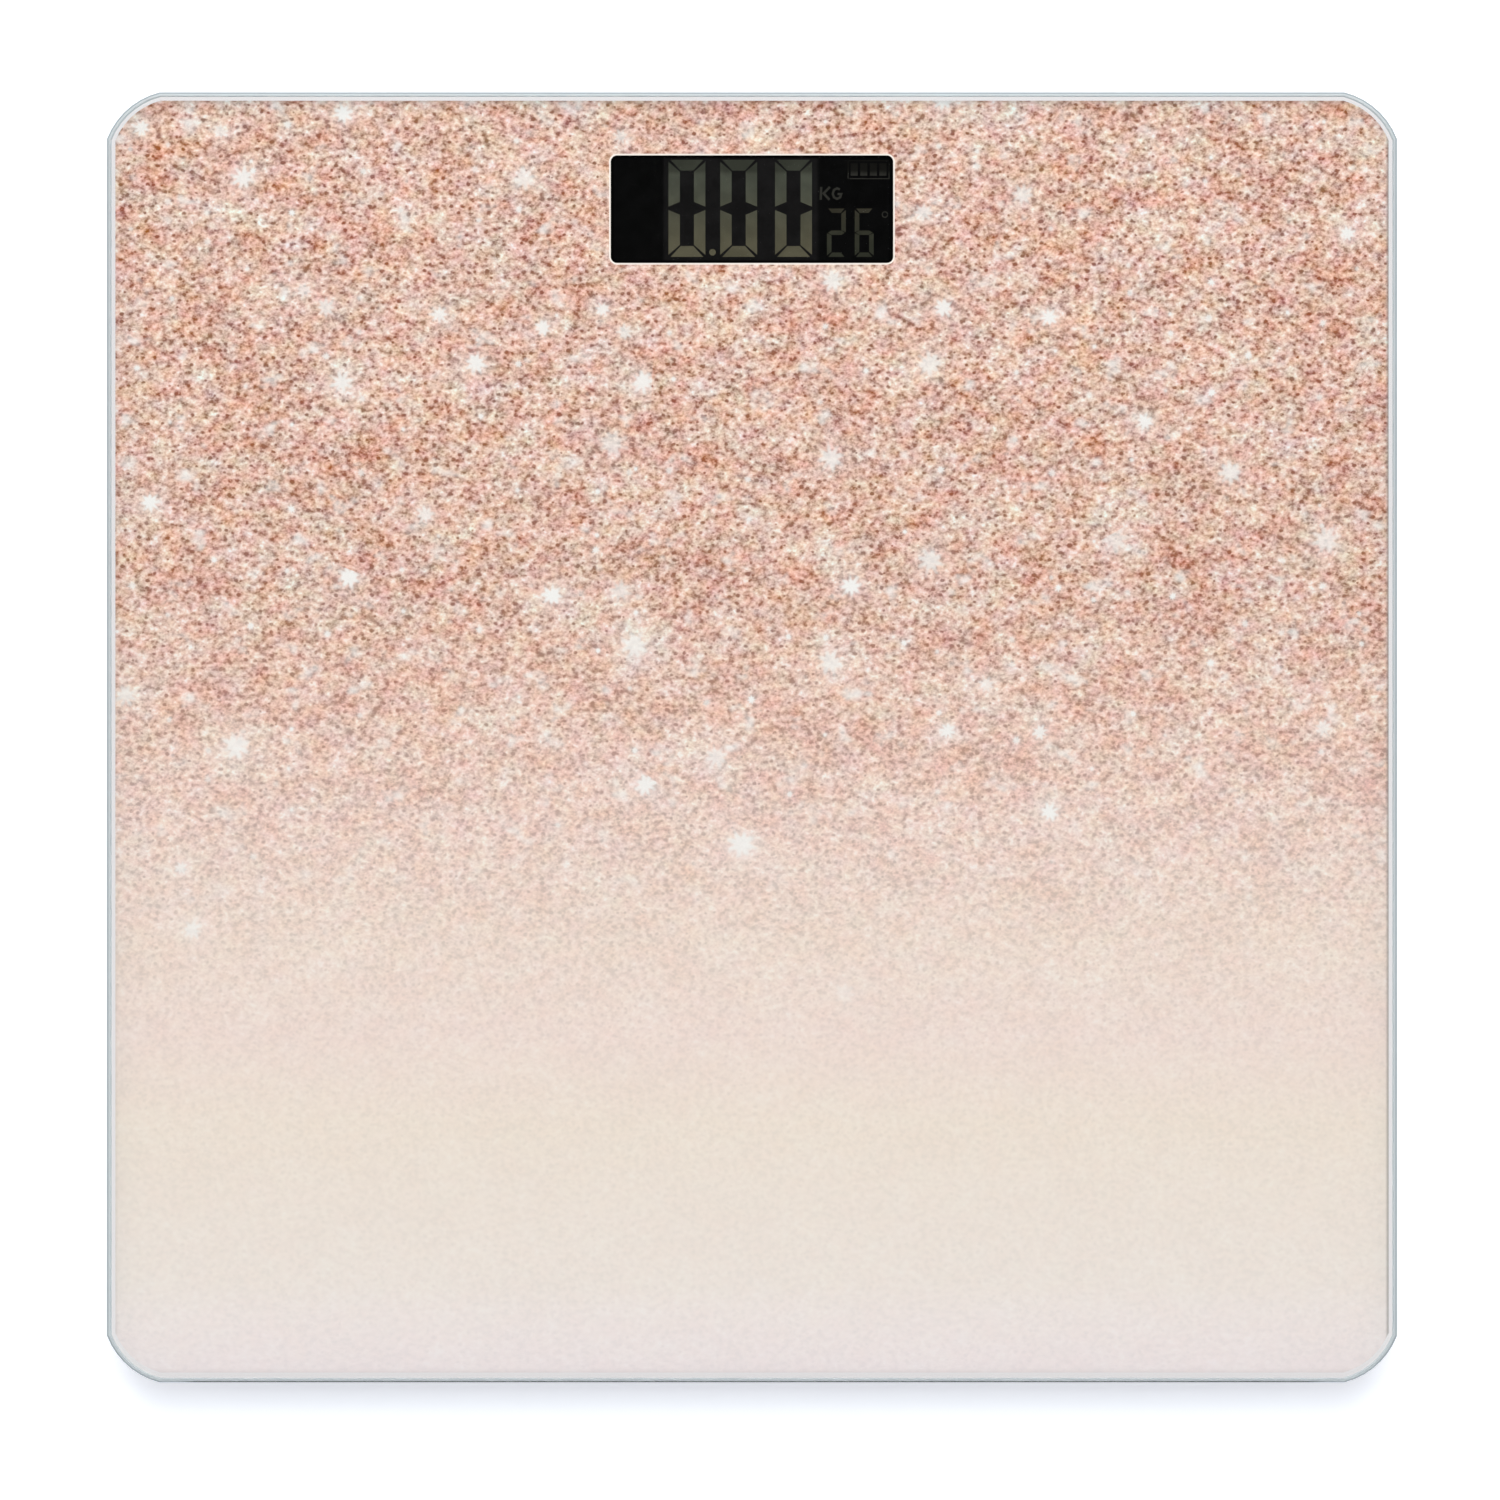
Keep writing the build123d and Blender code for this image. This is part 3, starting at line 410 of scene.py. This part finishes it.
def edge_shade(g):
    """Share of the darker line along the print's outer edge, strongest at the right."""
    side_line, end_line = 0.7 * MM, 1.0 * MM
    crossing = 10 * MM  # half the width in which one side's strength passes into the other's
    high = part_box("print_layer")[1]
    x, y = g.split(g.point())[:2]
    aside = g.math("SUBTRACT", high.x + PRINT_SPREAD_X, g.math("ABSOLUTE", x))
    away = g.math("ABSOLUTE", g.math("SUBTRACT", y, PRINT_SHIFT))
    ahead = g.math("SUBTRACT", high.y + PRINT_SPREAD_Y, away)
    aside = g.remap(aside, 0.0, side_line, 1.0, 0.0, smooth=False)
    ahead = g.remap(ahead, 0.0, end_line, 1.0, 0.0, smooth=False)
    aside = g.math("MULTIPLY", aside, g.remap(x, -crossing, crossing, 0.14, 0.85))
    ahead = g.math("MULTIPLY", ahead, g.remap(y, -crossing, crossing, 0.13, 0.25))
    return g.math("MAXIMUM", aside, ahead)


def print_material():
    """Glitter seen through the glass, with a pale backing ink on its underside."""
    g = material_graph("glitter_print")
    rim = g.remap(from_window(g, g.point()), 0.28 * MM, 0.42 * MM, 1.0, 0.0)
    colour = g.mix(rim, glitter_colour(g), rgb(250, 240, 230))
    colour = g.mix(edge_shade(g), colour, rgb(145, 140, 137))
    fibre = g.noise(g.point(), 420, 3.0, 0.6)
    backing = g.mix(g.spread(fibre), rgb(212, 208, 205), rgb(224, 221, 218))
    under = g.math("LESS_THAN", g.split(g.normal())[2], -0.5)
    colour = g.mix(under, colour, backing)
    return g.finish(g.shader(Base_Color=colour, Roughness=0.6, Specular_IOR_Level=0.0))


# Glass


def ground_colour_and_shade(g, normal):
    """Frosted colour of the ground edges, with a line of painted shade at the arris, darkest along the
    front.
    """
    shade_till, shade_end = 119 * MM, 126 * MM  # the painted front shade ends before the corners
    x, _, z = g.split(g.point())
    # painted shade: where the edge faces the front, the arris line turns near black, fading out before the
    # corners
    front_shade = g.remap(g.split(normal)[1], -0.66, -0.42, 1.0, 0.0)
    front_shade = g.math("MULTIPLY", front_shade, g.remap(g.math("ABSOLUTE", x), shade_till, shade_end, 1.0, 0.0))
    arris = g.math("SUBTRACT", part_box("glass_platform")[1].z - GLASS_CHAMFER, z)
    arris = g.remap(g.math("ABSOLUTE", arris), 0.30 * MM, 0.40 * MM, 1.0, 0.0)
    # painted shade: a grey-blue line at the arris, near black along the front edge
    line = g.mix(front_shade, rgb(158, 171, 174), rgb(30, 40, 46))
    return g.mix(arris, rgb(208, 218, 221), line)


def glass_material():
    """Clear glass with greener, mostly frosted ground edges that carry a painted shade line; lamps shine
    through it.
    """
    frosted_share = 0.8
    g = material_graph("clear_glass")
    normal = g.normal()
    flatness = g.math("ABSOLUTE", g.split(normal)[2])
    ground = g.remap(flatness, 0.95, 0.99, 1.0, 0.0, smooth=False)
    smear = g.noise(g.point(), 35.0, 3.0, 0.6)
    tint = g.mix(ground, rgb(254, 255, 255), rgb(214, 226, 230))
    rough = g.math("ADD", g.spread(smear, 0.0, 0.02), g.math("MULTIPLY", ground, 0.12))
    clear = g.shader(Base_Color=tint, Roughness=rough, IOR=1.5, Transmission_Weight=1.0)
    frosted = g.add("ShaderNodeBsdfDiffuse", {0: ground_colour_and_shade(g, normal)}).outputs[0]
    seen = g.mix_shaders(g.math("MULTIPLY", ground, frosted_share), clear, frosted)
    through = g.add("ShaderNodeBsdfTransparent", {0: tint}).outputs[0]
    path = g.add("ShaderNodeLightPath").outputs
    lets_through = g.math("MAXIMUM", path["Is Shadow Ray"], path["Is Diffuse Ray"])
    return g.finish(g.mix_shaders(lets_through, seen, through))


# Display


def film_material():
    """Dark smoked film, with the faint lighter field behind the figures."""
    left_side = -19.6 * MM, -18.8 * MM  # where the field fades in
    right_side = 13.8 * MM, 15.2 * MM  # and out
    g = material_graph("smoked_film")
    x = g.split(g.point())[0]
    field = g.math("MULTIPLY", g.remap(x, *left_side), g.remap(x, *right_side, 1.0, 0.0))
    mottle = g.spread(g.noise(g.point(), 260, 3.0, 0.6), 0.8, 1.2)
    colour = g.mix(field, rgb(9, 9, 9), rgb(23, 22, 22))
    colour = g.mix(g.remap(x, *right_side), colour, rgb(9, 9, 9))
    edge = g.remap(from_window(g, g.point()), -0.9 * MM, -0.3 * MM)
    colour = g.mix(edge, g.scaled(colour, mottle), rgb(2, 2, 2))
    return g.finish(g.shader(Base_Color=colour, Roughness=0.1, Specular_IOR_Level=0.0))


def figure_material(name, front, rear, rear_share):
    """Dim liquid-crystal segments, from a front to a rear colour, and dimmer at the very rear."""
    g = material_graph(name)
    low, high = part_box("display_filter")
    middle = (low.y + high.y) / 2
    y = g.split(g.point())[1]
    up = g.remap(y, middle - 10.0 * MM, middle + 7.0 * MM)
    dim = g.remap(y, middle + 7.3 * MM, middle + 8.6 * MM, 1.0, rear_share)
    uneven = g.spread(g.noise(g.point(), 240, 2.0, 0.5), 0.88, 1.12)
    colour = g.scaled(g.mix(up, front, rear), g.math("MULTIPLY", uneven, dim))
    return g.finish(g.shader(Base_Color=colour, Roughness=0.5, Specular_IOR_Level=0.0))


def plates(name, outlines, z_low, z_high):
    """Mesh of flat plates with the given outlines, each a list of (x, y) in millimetres."""
    shape = bmesh.new()
    for outline in outlines:
        rings = []
        for z in (z_low, z_high):
            rings.append([shape.verts.new((x * MM, y * MM, z)) for x, y in outline])
        shape.faces.new(rings[1])
        shape.faces.new(rings[0][::-1])
        for i in range(len(outline)):
            j = (i + 1) % len(outline)
            shape.faces.new((rings[0][i], rings[0][j], rings[1][j], rings[1][i]))
    bmesh.ops.recalc_face_normals(shape, faces=shape.faces)
    mesh = bpy.data.meshes.new(name)
    shape.to_mesh(mesh)
    shape.free()
    return mesh


def seven_segments(x, y, lit, width, height, bar, cap, gap, waist):
    """Outlines of the lit segments of one digit, whose lower left corner is at (x, y)."""
    right, top, middle = x + width, y + height, y + height / 2
    half = waist / 2
    notch = bar * 0.42
    tip, inset, shoulder = gap * 1.4, gap * 0.5, gap * 0.8

    def upright(left_side, low, high, low_inner, high_inner):
        outer, inner = (x, x + bar) if left_side else (right, right - bar)
        return [(outer, low), (inner, low_inner), (inner, high_inner), (outer, high)]

    shapes = {
        "a": [
            (x + tip, top), (right - tip, top),
            (right - bar - inset, top - cap), (x + bar + inset, top - cap),
        ],
        "d": [
            (x + tip, y), (x + bar + inset, y + cap),
            (right - bar - inset, y + cap), (right - tip, y),
        ],
        "g": [
            (x + gap, middle), (x + bar, middle + cap / 2), (right - bar, middle + cap / 2),
            (right - gap, middle), (right - bar, middle - cap / 2), (x + bar, middle - cap / 2),
        ],
    }
    for left_side, (upper, lower) in ((True, "fe"), (False, "bc")):
        shapes[upper] = upright(
            left_side, middle + half, top - tip, middle + half + notch, top - cap - shoulder
        )
        shapes[lower] = upright(
            left_side, y + tip, middle - half, y + cap + shoulder, middle - half - notch
        )
    return [shapes[letter] for letter in lit]


def ribbon(points, width):
    """Outline of a line of even width through some points, with mitred corners."""
    left, right = [], []
    last = len(points) - 1
    for i, point in enumerate(points):
        before = Vector(points[max(i - 1, 0)])
        after = Vector(points[min(i + 1, last)])
        here = Vector(point)
        first = (here - before).normalized() if i > 0 else (after - here).normalized()
        second = (after - here).normalized() if i < last else first
        normal = Vector((-first.y, first.x)) + Vector((-second.y, second.x))
        normal /= max(0.35, normal.length_squared / 2)
        left.append(here + normal * width / 2)
        right.append(here - normal * width / 2)
    return [(p.x, p.y) for p in left + right[::-1]]


def round_points(x, y, radius_x, radius_y, degrees):
    """Points on an ellipse about (x, y), at some angles."""
    turns = [math.radians(angle) for angle in degrees]
    return [(x + radius_x * math.cos(turn), y + radius_y * math.sin(turn)) for turn in turns]


def unit_sign(x, y):
    """The letters KG, whose lower left corner is at (x, y)."""
    height, line = 2.8, 0.52
    stem = [(x, y), (x + 0.1, y + height)]
    arms = [(x + 2.0, y + height), (x + 0.62, y + height / 2), (x + 1.9, y)]
    middle = x + 3.55
    bow = round_points(middle, y + 1.35, 0.95, 1.15, (50, 90, 135, 180, 225, 270, 315))
    bow += [(middle + 0.9, y + 1.25), (middle + 0.1, y + 1.25)]
    return [ribbon(stem, line), ribbon(arms, line), ribbon(bow, 0.5)]


def battery_sign(x, y):
    """Frame with four bars in it, whose lower left corner is at (x, y)."""
    width, height, line = 8.9, 3.9, 0.2
    bar_width, bar_height, pitch = 1.55, 2.7, 2.08
    margin_x, margin_y = 0.55, 0.65
    corner_gap = 0.3
    shapes = [
        ribbon([(x, y), (x, y + height), (x + width, y + height)], line),
        ribbon([(x + width, y + height - corner_gap), (x + width, y), (x + corner_gap, y)], line),
    ]
    for i in range(4):
        left, bottom = x + margin_x + i * pitch, y + margin_y
        right, top = left + bar_width, bottom + bar_height
        shapes.append([(left, bottom), (right, bottom), (right, top), (left, top)])
    return shapes


def display_piece(name, outlines, front, rear, rear_share=0.6):
    """Thin figures on the display's film."""
    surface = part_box("display_filter")[1].z
    mesh = plates(name, outlines, surface, surface + FIGURE_THICKNESS * MM)
    new_piece(name, mesh, figure_material(name, front, rear, rear_share), "scale_body")


def display_figures():
    """The reading, the small side figures, and the fainter unit, ring and battery sign."""
    low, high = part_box("display_filter")
    base = (low.y + high.y) / 2 / MM - FIGURES_FORWARD
    reading = []
    for left in DIGIT_LEFTS:
        reading += seven_segments(left, base, "abcdef", **DIGIT)
    decimal_point = round_points(-8.58, base + 1.0, 0.72, 0.72, range(0, 360, 18))
    reading.append(decimal_point)
    display_piece("lcd_reading", reading, rgb(85, 81, 65), rgb(71, 73, 63))

    small = []
    for left, lit in SIDE_DIGITS:
        small += seven_segments(left, base, lit, **SIDE_DIGIT)
    display_piece("lcd_side_figures", small, rgb(49, 50, 41), rgb(53, 48, 39))

    faint = unit_sign(14.95, base + 12.4)
    ring = round_points(28.9, base + 9.2, 0.6, 0.6, range(0, 346, 23))
    faint.append(ribbon(ring, 0.22))
    faint += battery_sign(20.9, base + 17.0)
    display_piece("lcd_faint_signs", faint, rgb(46, 45, 41), rgb(46, 45, 41), 0.3)


# Materials of the plastic, metal and electronic parts


def tray_material():
    """Off-white moulded ABS with a fine spark-eroded grain."""
    g = material_graph("tray_plastic")
    grain = g.noise(g.point(), 1500, 3.0, 0.65)
    cloud = g.noise(g.point((0.2, 0.1, 0.4)), 18, 2.0, 0.5)
    colour = g.mix(g.spread(cloud), rgb(226, 226, 223), rgb(233, 233, 230))
    rough = g.spread(grain, 0.42, 0.58)
    return g.finish(g.shader(Base_Color=colour, Roughness=rough, Normal=g.bump(grain, 0.02 * MM)))


def label_material():
    """Blank silver-white paper with a printed frame and plain rules."""
    g = material_graph("label_paper")
    low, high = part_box("rating_label")
    frame_x, rules_x = high.x - 2.0 * MM, high.x - 2.2 * MM
    x, y = g.split(g.point())[:2]
    across = g.math("ABSOLUTE", x)
    rise = g.math("DIVIDE", g.math("SUBTRACT", y, low.y), high.y - low.y)
    rule = g.math("PINGPONG", g.math("MULTIPLY", rise, 7.0), 0.5)
    rule = g.remap(rule, 0.025, 0.05, 1.0, 0.0)
    inside = g.remap(across, rules_x, frame_x, 1.0, 0.0)
    sides = g.math("ABSOLUTE", g.math("SUBTRACT", across, frame_x))
    sides = g.remap(sides, 0.15 * MM, 0.25 * MM, 1.0, 0.0)
    between = g.math("ABSOLUTE", g.math("SUBTRACT", rise, 0.5))
    between = g.remap(between, 0.44, 0.445, 1.0, 0.0)
    line = g.math("MULTIPLY", g.math("MAXIMUM", g.math("MULTIPLY", rule, inside), sides), between)
    fibre = g.noise(g.point(), 900, 4.0, 0.7)
    paper = g.mix(g.spread(fibre), rgb(222, 224, 225), rgb(238, 239, 240))
    colour = g.mix(g.math("MULTIPLY", line, 0.65), paper, rgb(120, 122, 126))
    return g.finish(g.shader(Base_Color=colour, Roughness=0.45, Normal=g.bump(fibre, 0.006 * MM)))


def steel_material(name, colour, shade, roughness, per_metre):
    """Plated steel with fine drawn lines along X and a few darker spots."""
    g = material_graph(name)
    drawn = g.noise(g.vector("MULTIPLY", g.point(), (0.06, 1.0, 1.0)), per_metre, 3.0, 0.7)
    spots = g.remap(g.noise(g.point((0.4, 0.2, 0.1)), 420, 2.0, 0.6), 0.62, 0.75)
    tone = g.mix(g.spread(drawn), colour, shade)
    tone = g.mix(g.math("MULTIPLY", spots, 0.25), tone, rgb(105, 98, 88))
    rough = g.spread(drawn, roughness * 0.8, roughness * 1.25)
    bump = g.bump(drawn, 0.006 * MM)
    return g.finish(g.shader(Base_Color=tone, Roughness=rough, Metallic=1.0, Normal=bump))


def board_material():
    """Green solder mask over a mesh of copper tracks, with tinned pads."""
    g = material_graph("circuit_board")
    tracks = g.add(
        "ShaderNodeTexBrick",
        {
            "Vector": g.point(), "Scale": 110.0, "Mortar Size": 0.03, "Mortar Smooth": 0.2,
            "Brick Width": 0.9, "Row Height": 0.22,
            "Color1": grey(0.0), "Color2": grey(0.0), "Mortar": grey(1.0),
        },
        offset=0.37,
    )
    dots = g.add(
        "ShaderNodeTexVoronoi",
        {"Vector": g.point((0.02, 0.01, 0.0)), "Scale": 240.0, "Randomness": 0.35},
    )
    pad = g.remap(dots.outputs["Distance"], 0.13, 0.16, 1.0, 0.0)
    mask = g.mix(g.noise(g.point(), 90, 2.0, 0.5), rgb(20, 92, 48), rgb(28, 112, 60))
    colour = g.mix(tracks.outputs["Color"], mask, rgb(50, 140, 74))
    colour = g.mix(pad, colour, rgb(196, 194, 186))
    rough = g.remap(pad, 0.0, 1.0, 0.32, 0.22)
    bump = g.bump(pad, 0.03 * MM)
    return g.finish(g.shader(Base_Color=colour, Roughness=rough, Metallic=pad, Normal=bump))


def battery_material(node, nub_right):
    """Printed sleeve in two plain colours with bright bare ends."""
    g = material_graph("battery_case_" + node)
    low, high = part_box(node)
    along = g.remap(g.split(g.point())[0], low.x, high.x, smooth=False)
    if nub_right:
        along = g.math("SUBTRACT", 1.0, along)
    fine = g.noise(g.point(), 1200, 3.0, 0.6)
    sleeve = g.ramp(along, [
        (0.0, rgb(176, 122, 62)), (0.29, rgb(190, 138, 74)),
        (0.30, rgb(34, 36, 40)), (1.0, rgb(28, 30, 34)),
    ])
    end = g.math("MAXIMUM", g.remap(along, 0.028, 0.034, 1.0, 0.0), g.remap(along, 0.975, 0.98))
    colour = g.mix(end, sleeve, rgb(200, 199, 195))
    rough = g.spread(fine, 0.24, 0.36)
    metal = g.remap(end, 0.0, 1.0, 0.35, 1.0)
    return g.finish(g.shader(Base_Color=colour, Roughness=rough, Metallic=metal))


def foam_material(name, colour, shade, per_metre):
    """Closed-cell foam."""
    g = material_graph(name)
    cells = g.add("ShaderNodeTexVoronoi", {"Vector": g.point(), "Scale": per_metre}).outputs["Distance"]
    tone = g.mix(g.remap(cells, 0.1, 0.6), shade, colour)
    return g.finish(g.shader(Base_Color=tone, Roughness=0.85, Normal=g.bump(cells, 0.05 * MM)))


def wire_material():
    """PVC-covered wires, each one of a few colours."""
    colours = [(0.0, rgb(150, 24, 22)), (0.34, rgb(26, 26, 28)), (0.67, rgb(206, 204, 198))]
    g = material_graph("wire_pvc")
    chance = g.add("ShaderNodeNewGeometry").outputs["Random Per Island"]
    picked = g.ramp(chance, colours, "CONSTANT")
    fine = g.noise(g.point(), 1500, 2.0, 0.5)
    tone = g.mix(g.spread(fine), picked, g.scaled(picked, 0.8))
    return g.finish(g.shader(Base_Color=tone, Roughness=0.4, Normal=g.bump(fine, 0.01 * MM)))


def layered_material():
    """Contact strip of thin dark and pale rubber layers."""
    layers_per_metre = 4000.0
    g = material_graph("contact_rubber")
    x = g.split(g.point())[0]
    layer = g.math("PINGPONG", g.math("MULTIPLY", x, layers_per_metre), 1.0)
    colour = g.mix(g.remap(layer, 0.4, 0.6), rgb(186, 172, 158), rgb(40, 38, 38))
    return g.finish(g.shader(Base_Color=colour, Roughness=0.7))


def lcd_cell_material():
    """Dark glossy glass of the display cell."""
    g = material_graph("lcd_glass")
    shade = g.noise(g.point(), 80, 2.0, 0.5)
    colour = g.mix(shade, rgb(26, 27, 31), rgb(40, 42, 50))
    return g.finish(g.shader(Base_Color=colour, Roughness=0.08, Coat_Weight=0.3))


# Dressing


def dress_nodes():
    """Gives every carried-over node its material."""
    black_plastic = moulded("black_plastic", rgb(34, 34, 35), rgb(42, 42, 43), 0.45)
    screw = steel_material("screw_steel", rgb(196, 195, 190), rgb(172, 171, 166), 0.30, 1800)
    small_parts = moulded("component_body", rgb(62, 54, 44), rgb(94, 84, 66), 0.4, cloud=500.0)
    nickel = steel_material("contact_nickel", rgb(206, 203, 194), rgb(184, 181, 172), 0.22, 2200)
    cell = steel_material("cell_steel", rgb(176, 176, 174), rgb(148, 148, 147), 0.34, 1500)
    sealant = moulded("white_sealant", rgb(226, 226, 221), rgb(214, 214, 208), 0.55, grain=700.0, depth=0.05)
    rubber = moulded("pad_rubber", rgb(140, 142, 145), rgb(126, 128, 131), 0.8, grain=1600.0, depth=0.03)
    tray = tray_material()
    wires = wire_material()
    looks = {
        "glass_platform": glass_material(),
        "bond_tape": foam_material("foam_tape", rgb(226, 226, 222), rgb(196, 196, 192), 2600),
        "base_tray": tray,
        "battery_door": tray,
        "rating_label": label_material(),
        "display_filter": film_material(),
        "lcd_gasket": foam_material("black_foam", rgb(34, 34, 34), rgb(18, 18, 18), 3000),
        "lcd_cell": lcd_cell_material(),
        "lcd_backlight": moulded("light_guide", rgb(228, 229, 224), rgb(216, 218, 213), 0.3, depth=0.004),
        "lcd_holder": black_plastic,
        "switch_plunger": black_plastic,
        "zebra_strip": layered_material(),
        "main_pcb": board_material(),
        "pcb_screws": screw,
        "bracket_screws": screw,
        "chip_blob": moulded("black_resin", rgb(20, 20, 21), rgb(30, 30, 31), 0.25, cloud=300.0, depth=0.02),
        "pcb_components": small_parts,
        "thermistor": small_parts,
        "unit_switch": small_parts,
        "unit_button": moulded("button_plastic", rgb(136, 138, 142), rgb(124, 126, 130), 0.5, depth=0.015),
        "battery_rear": battery_material("battery_rear", False),
        "battery_front": battery_material("battery_front", True),
        "battery_bridge_contact": nickel,
        "battery_positive_contact": nickel,
        "battery_negative_contact": nickel,
        "battery_leads": wires,
    }
    for corner in ("front_left", "front_right", "rear_left", "rear_right"):
        looks["load_cell_" + corner] = cell
        looks["gauge_potting_" + corner] = sealant
        looks["cell_bracket_" + corner] = tray
        looks["foot_cup_" + corner] = tray
        looks["foot_pad_" + corner] = rubber
        looks["cell_lead_" + corner] = wires
    for node, material in looks.items():
        wear(node, material)


def print_piece():
    """The printed layer, sunk a hair into the glass as ink is, with its outer edge moved."""
    mesh = parts["print_layer"].data.copy()
    mesh.transform(Matrix.Translation((0.0, 0.0, PRINT_SINK)))
    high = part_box("print_layer")[1]
    for vertex in mesh.vertices:
        if max(abs(vertex.co.x), abs(vertex.co.y)) > PRINT_OUTER:
            vertex.co.x *= 1 + PRINT_SPREAD_X / high.x
            vertex.co.y *= 1 + PRINT_SPREAD_Y / high.y
            vertex.co.y += PRINT_SHIFT
    piece = new_piece("printed_film", mesh, print_material(), "scale_body")
    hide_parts("print_layer")


# Stage


def floor_material():
    """Pale matt floor, white far out, even where seen through glass, and open from below."""
    fade_from, fade_to = 0.30, 0.60
    g = material_graph("floor")
    cloud = g.noise(g.point(), 3.0, 2.0, 0.5)
    colour = g.mix(cloud, rgb(232, 234, 238), rgb(236, 237, 240))
    matt = g.add("ShaderNodeBsdfDiffuse", {0: colour}).outputs[0]
    path = g.add("ShaderNodeLightPath").outputs
    seen = g.math("MAXIMUM", path["Is Camera Ray"], path["Is Glossy Ray"])
    lifted = g.math("MULTIPLY", seen, FLOOR_LIFT)
    lift = g.add("ShaderNodeEmission", {0: (0.98, 0.99, 1.06, 1.0), 1: lifted}).outputs[0]
    top = g.add("ShaderNodeAddShader", {0: matt, 1: lift}).outputs[0]
    even = g.add("ShaderNodeEmission", {0: rgb(233, 229, 229), 1: 1.0}).outputs[0]
    top = g.mix_shaders(g.math("MULTIPLY", path["Is Transmission Ray"], 0.85), top, even)
    far = g.remap(g.length(g.point()), fade_from, fade_to)
    white = g.add("ShaderNodeEmission", {0: grey(1.0), 1: 1.0}).outputs[0]
    top = g.mix_shaders(g.math("MULTIPLY", far, path["Is Camera Ray"]), top, white)
    below = g.add("ShaderNodeBsdfTransparent").outputs[0]
    back = g.add("ShaderNodeNewGeometry").outputs["Backfacing"]
    return g.finish(g.mix_shaders(back, top, below))


def make_floor():
    """Floor that keeps the shadow."""
    mesh = bpy.data.meshes.new("floor")
    reach, level = 4.0, -0.2 * MM
    sides = ((-1, -1), (1, -1), (1, 1), (-1, 1))
    corners = [(x * reach, y * reach, level) for x, y in sides]
    mesh.from_pydata(corners, [], [(0, 1, 2, 3)])
    floor = bpy.data.objects.new("floor", mesh)
    scene.collection.objects.link(floor)
    mesh.materials.append(floor_material())


def make_world():
    """White behind the object; in reflections pale near the horizon and dark overhead."""
    levels = ((0.0, 0.9), (0.10, 0.6), (0.30, 0.22), (0.80, 0.05), (0.93, 0.008))
    g = Graph(bpy.data.worlds.new("studio"), "ShaderNodeOutputWorld")
    z = g.split(g.add("ShaderNodeTexCoord").outputs["Generated"])[2]
    path = g.add("ShaderNodeLightPath").outputs
    mirrored = g.ramp(z, [(place, grey(level)) for place, level in levels])
    sharp = g.math("MAXIMUM", path["Is Glossy Ray"], path["Is Transmission Ray"])
    around = g.mix(sharp, (0.97 * AMBIENT, 0.99 * AMBIENT, 1.03 * AMBIENT, 1.0), mirrored)
    colour = g.mix(path["Is Camera Ray"], around, grey(1.0))
    scene.world = g.finish(g.add("ShaderNodeBackground", {0: colour, 1: 1.0}).outputs[0])


def make_lamp(name, place, side, power):
    """Square soft lamp aimed at the middle of the object."""
    lamp = bpy.data.lights.new(name, "AREA")
    lamp.shape = "SQUARE"
    lamp.size = side
    lamp.energy = power
    holder = bpy.data.objects.new(name, lamp)
    holder.location = place
    towards = Vector((0.0, 0.0, 0.0)) - Vector(place)
    holder.rotation_euler = towards.to_track_quat("-Z", "Y").to_euler()
    scene.collection.objects.link(holder)


def make_camera():
    """Long lens looking straight down, with +Y up in the picture."""
    lens, sensor = 200.0, 36.0
    view_width = 0.32544
    middle_x, middle_y = -0.43 * MM, -2.75 * MM
    camera = bpy.data.cameras.new("camera")
    camera.lens = lens
    camera.sensor_width = sensor
    camera.clip_end = 50.0
    holder = bpy.data.objects.new("camera", camera)
    holder.location = (middle_x, middle_y, cad_box[1].z + view_width * lens / sensor)
    scene.collection.objects.link(holder)
    scene.camera = holder


scene.view_settings.view_transform = "Standard"
dress_nodes()
print_piece()
display_figures()
make_floor()
make_world()
for name, place, side, power in LAMPS:
    make_lamp(name, place, side, power)
make_camera()
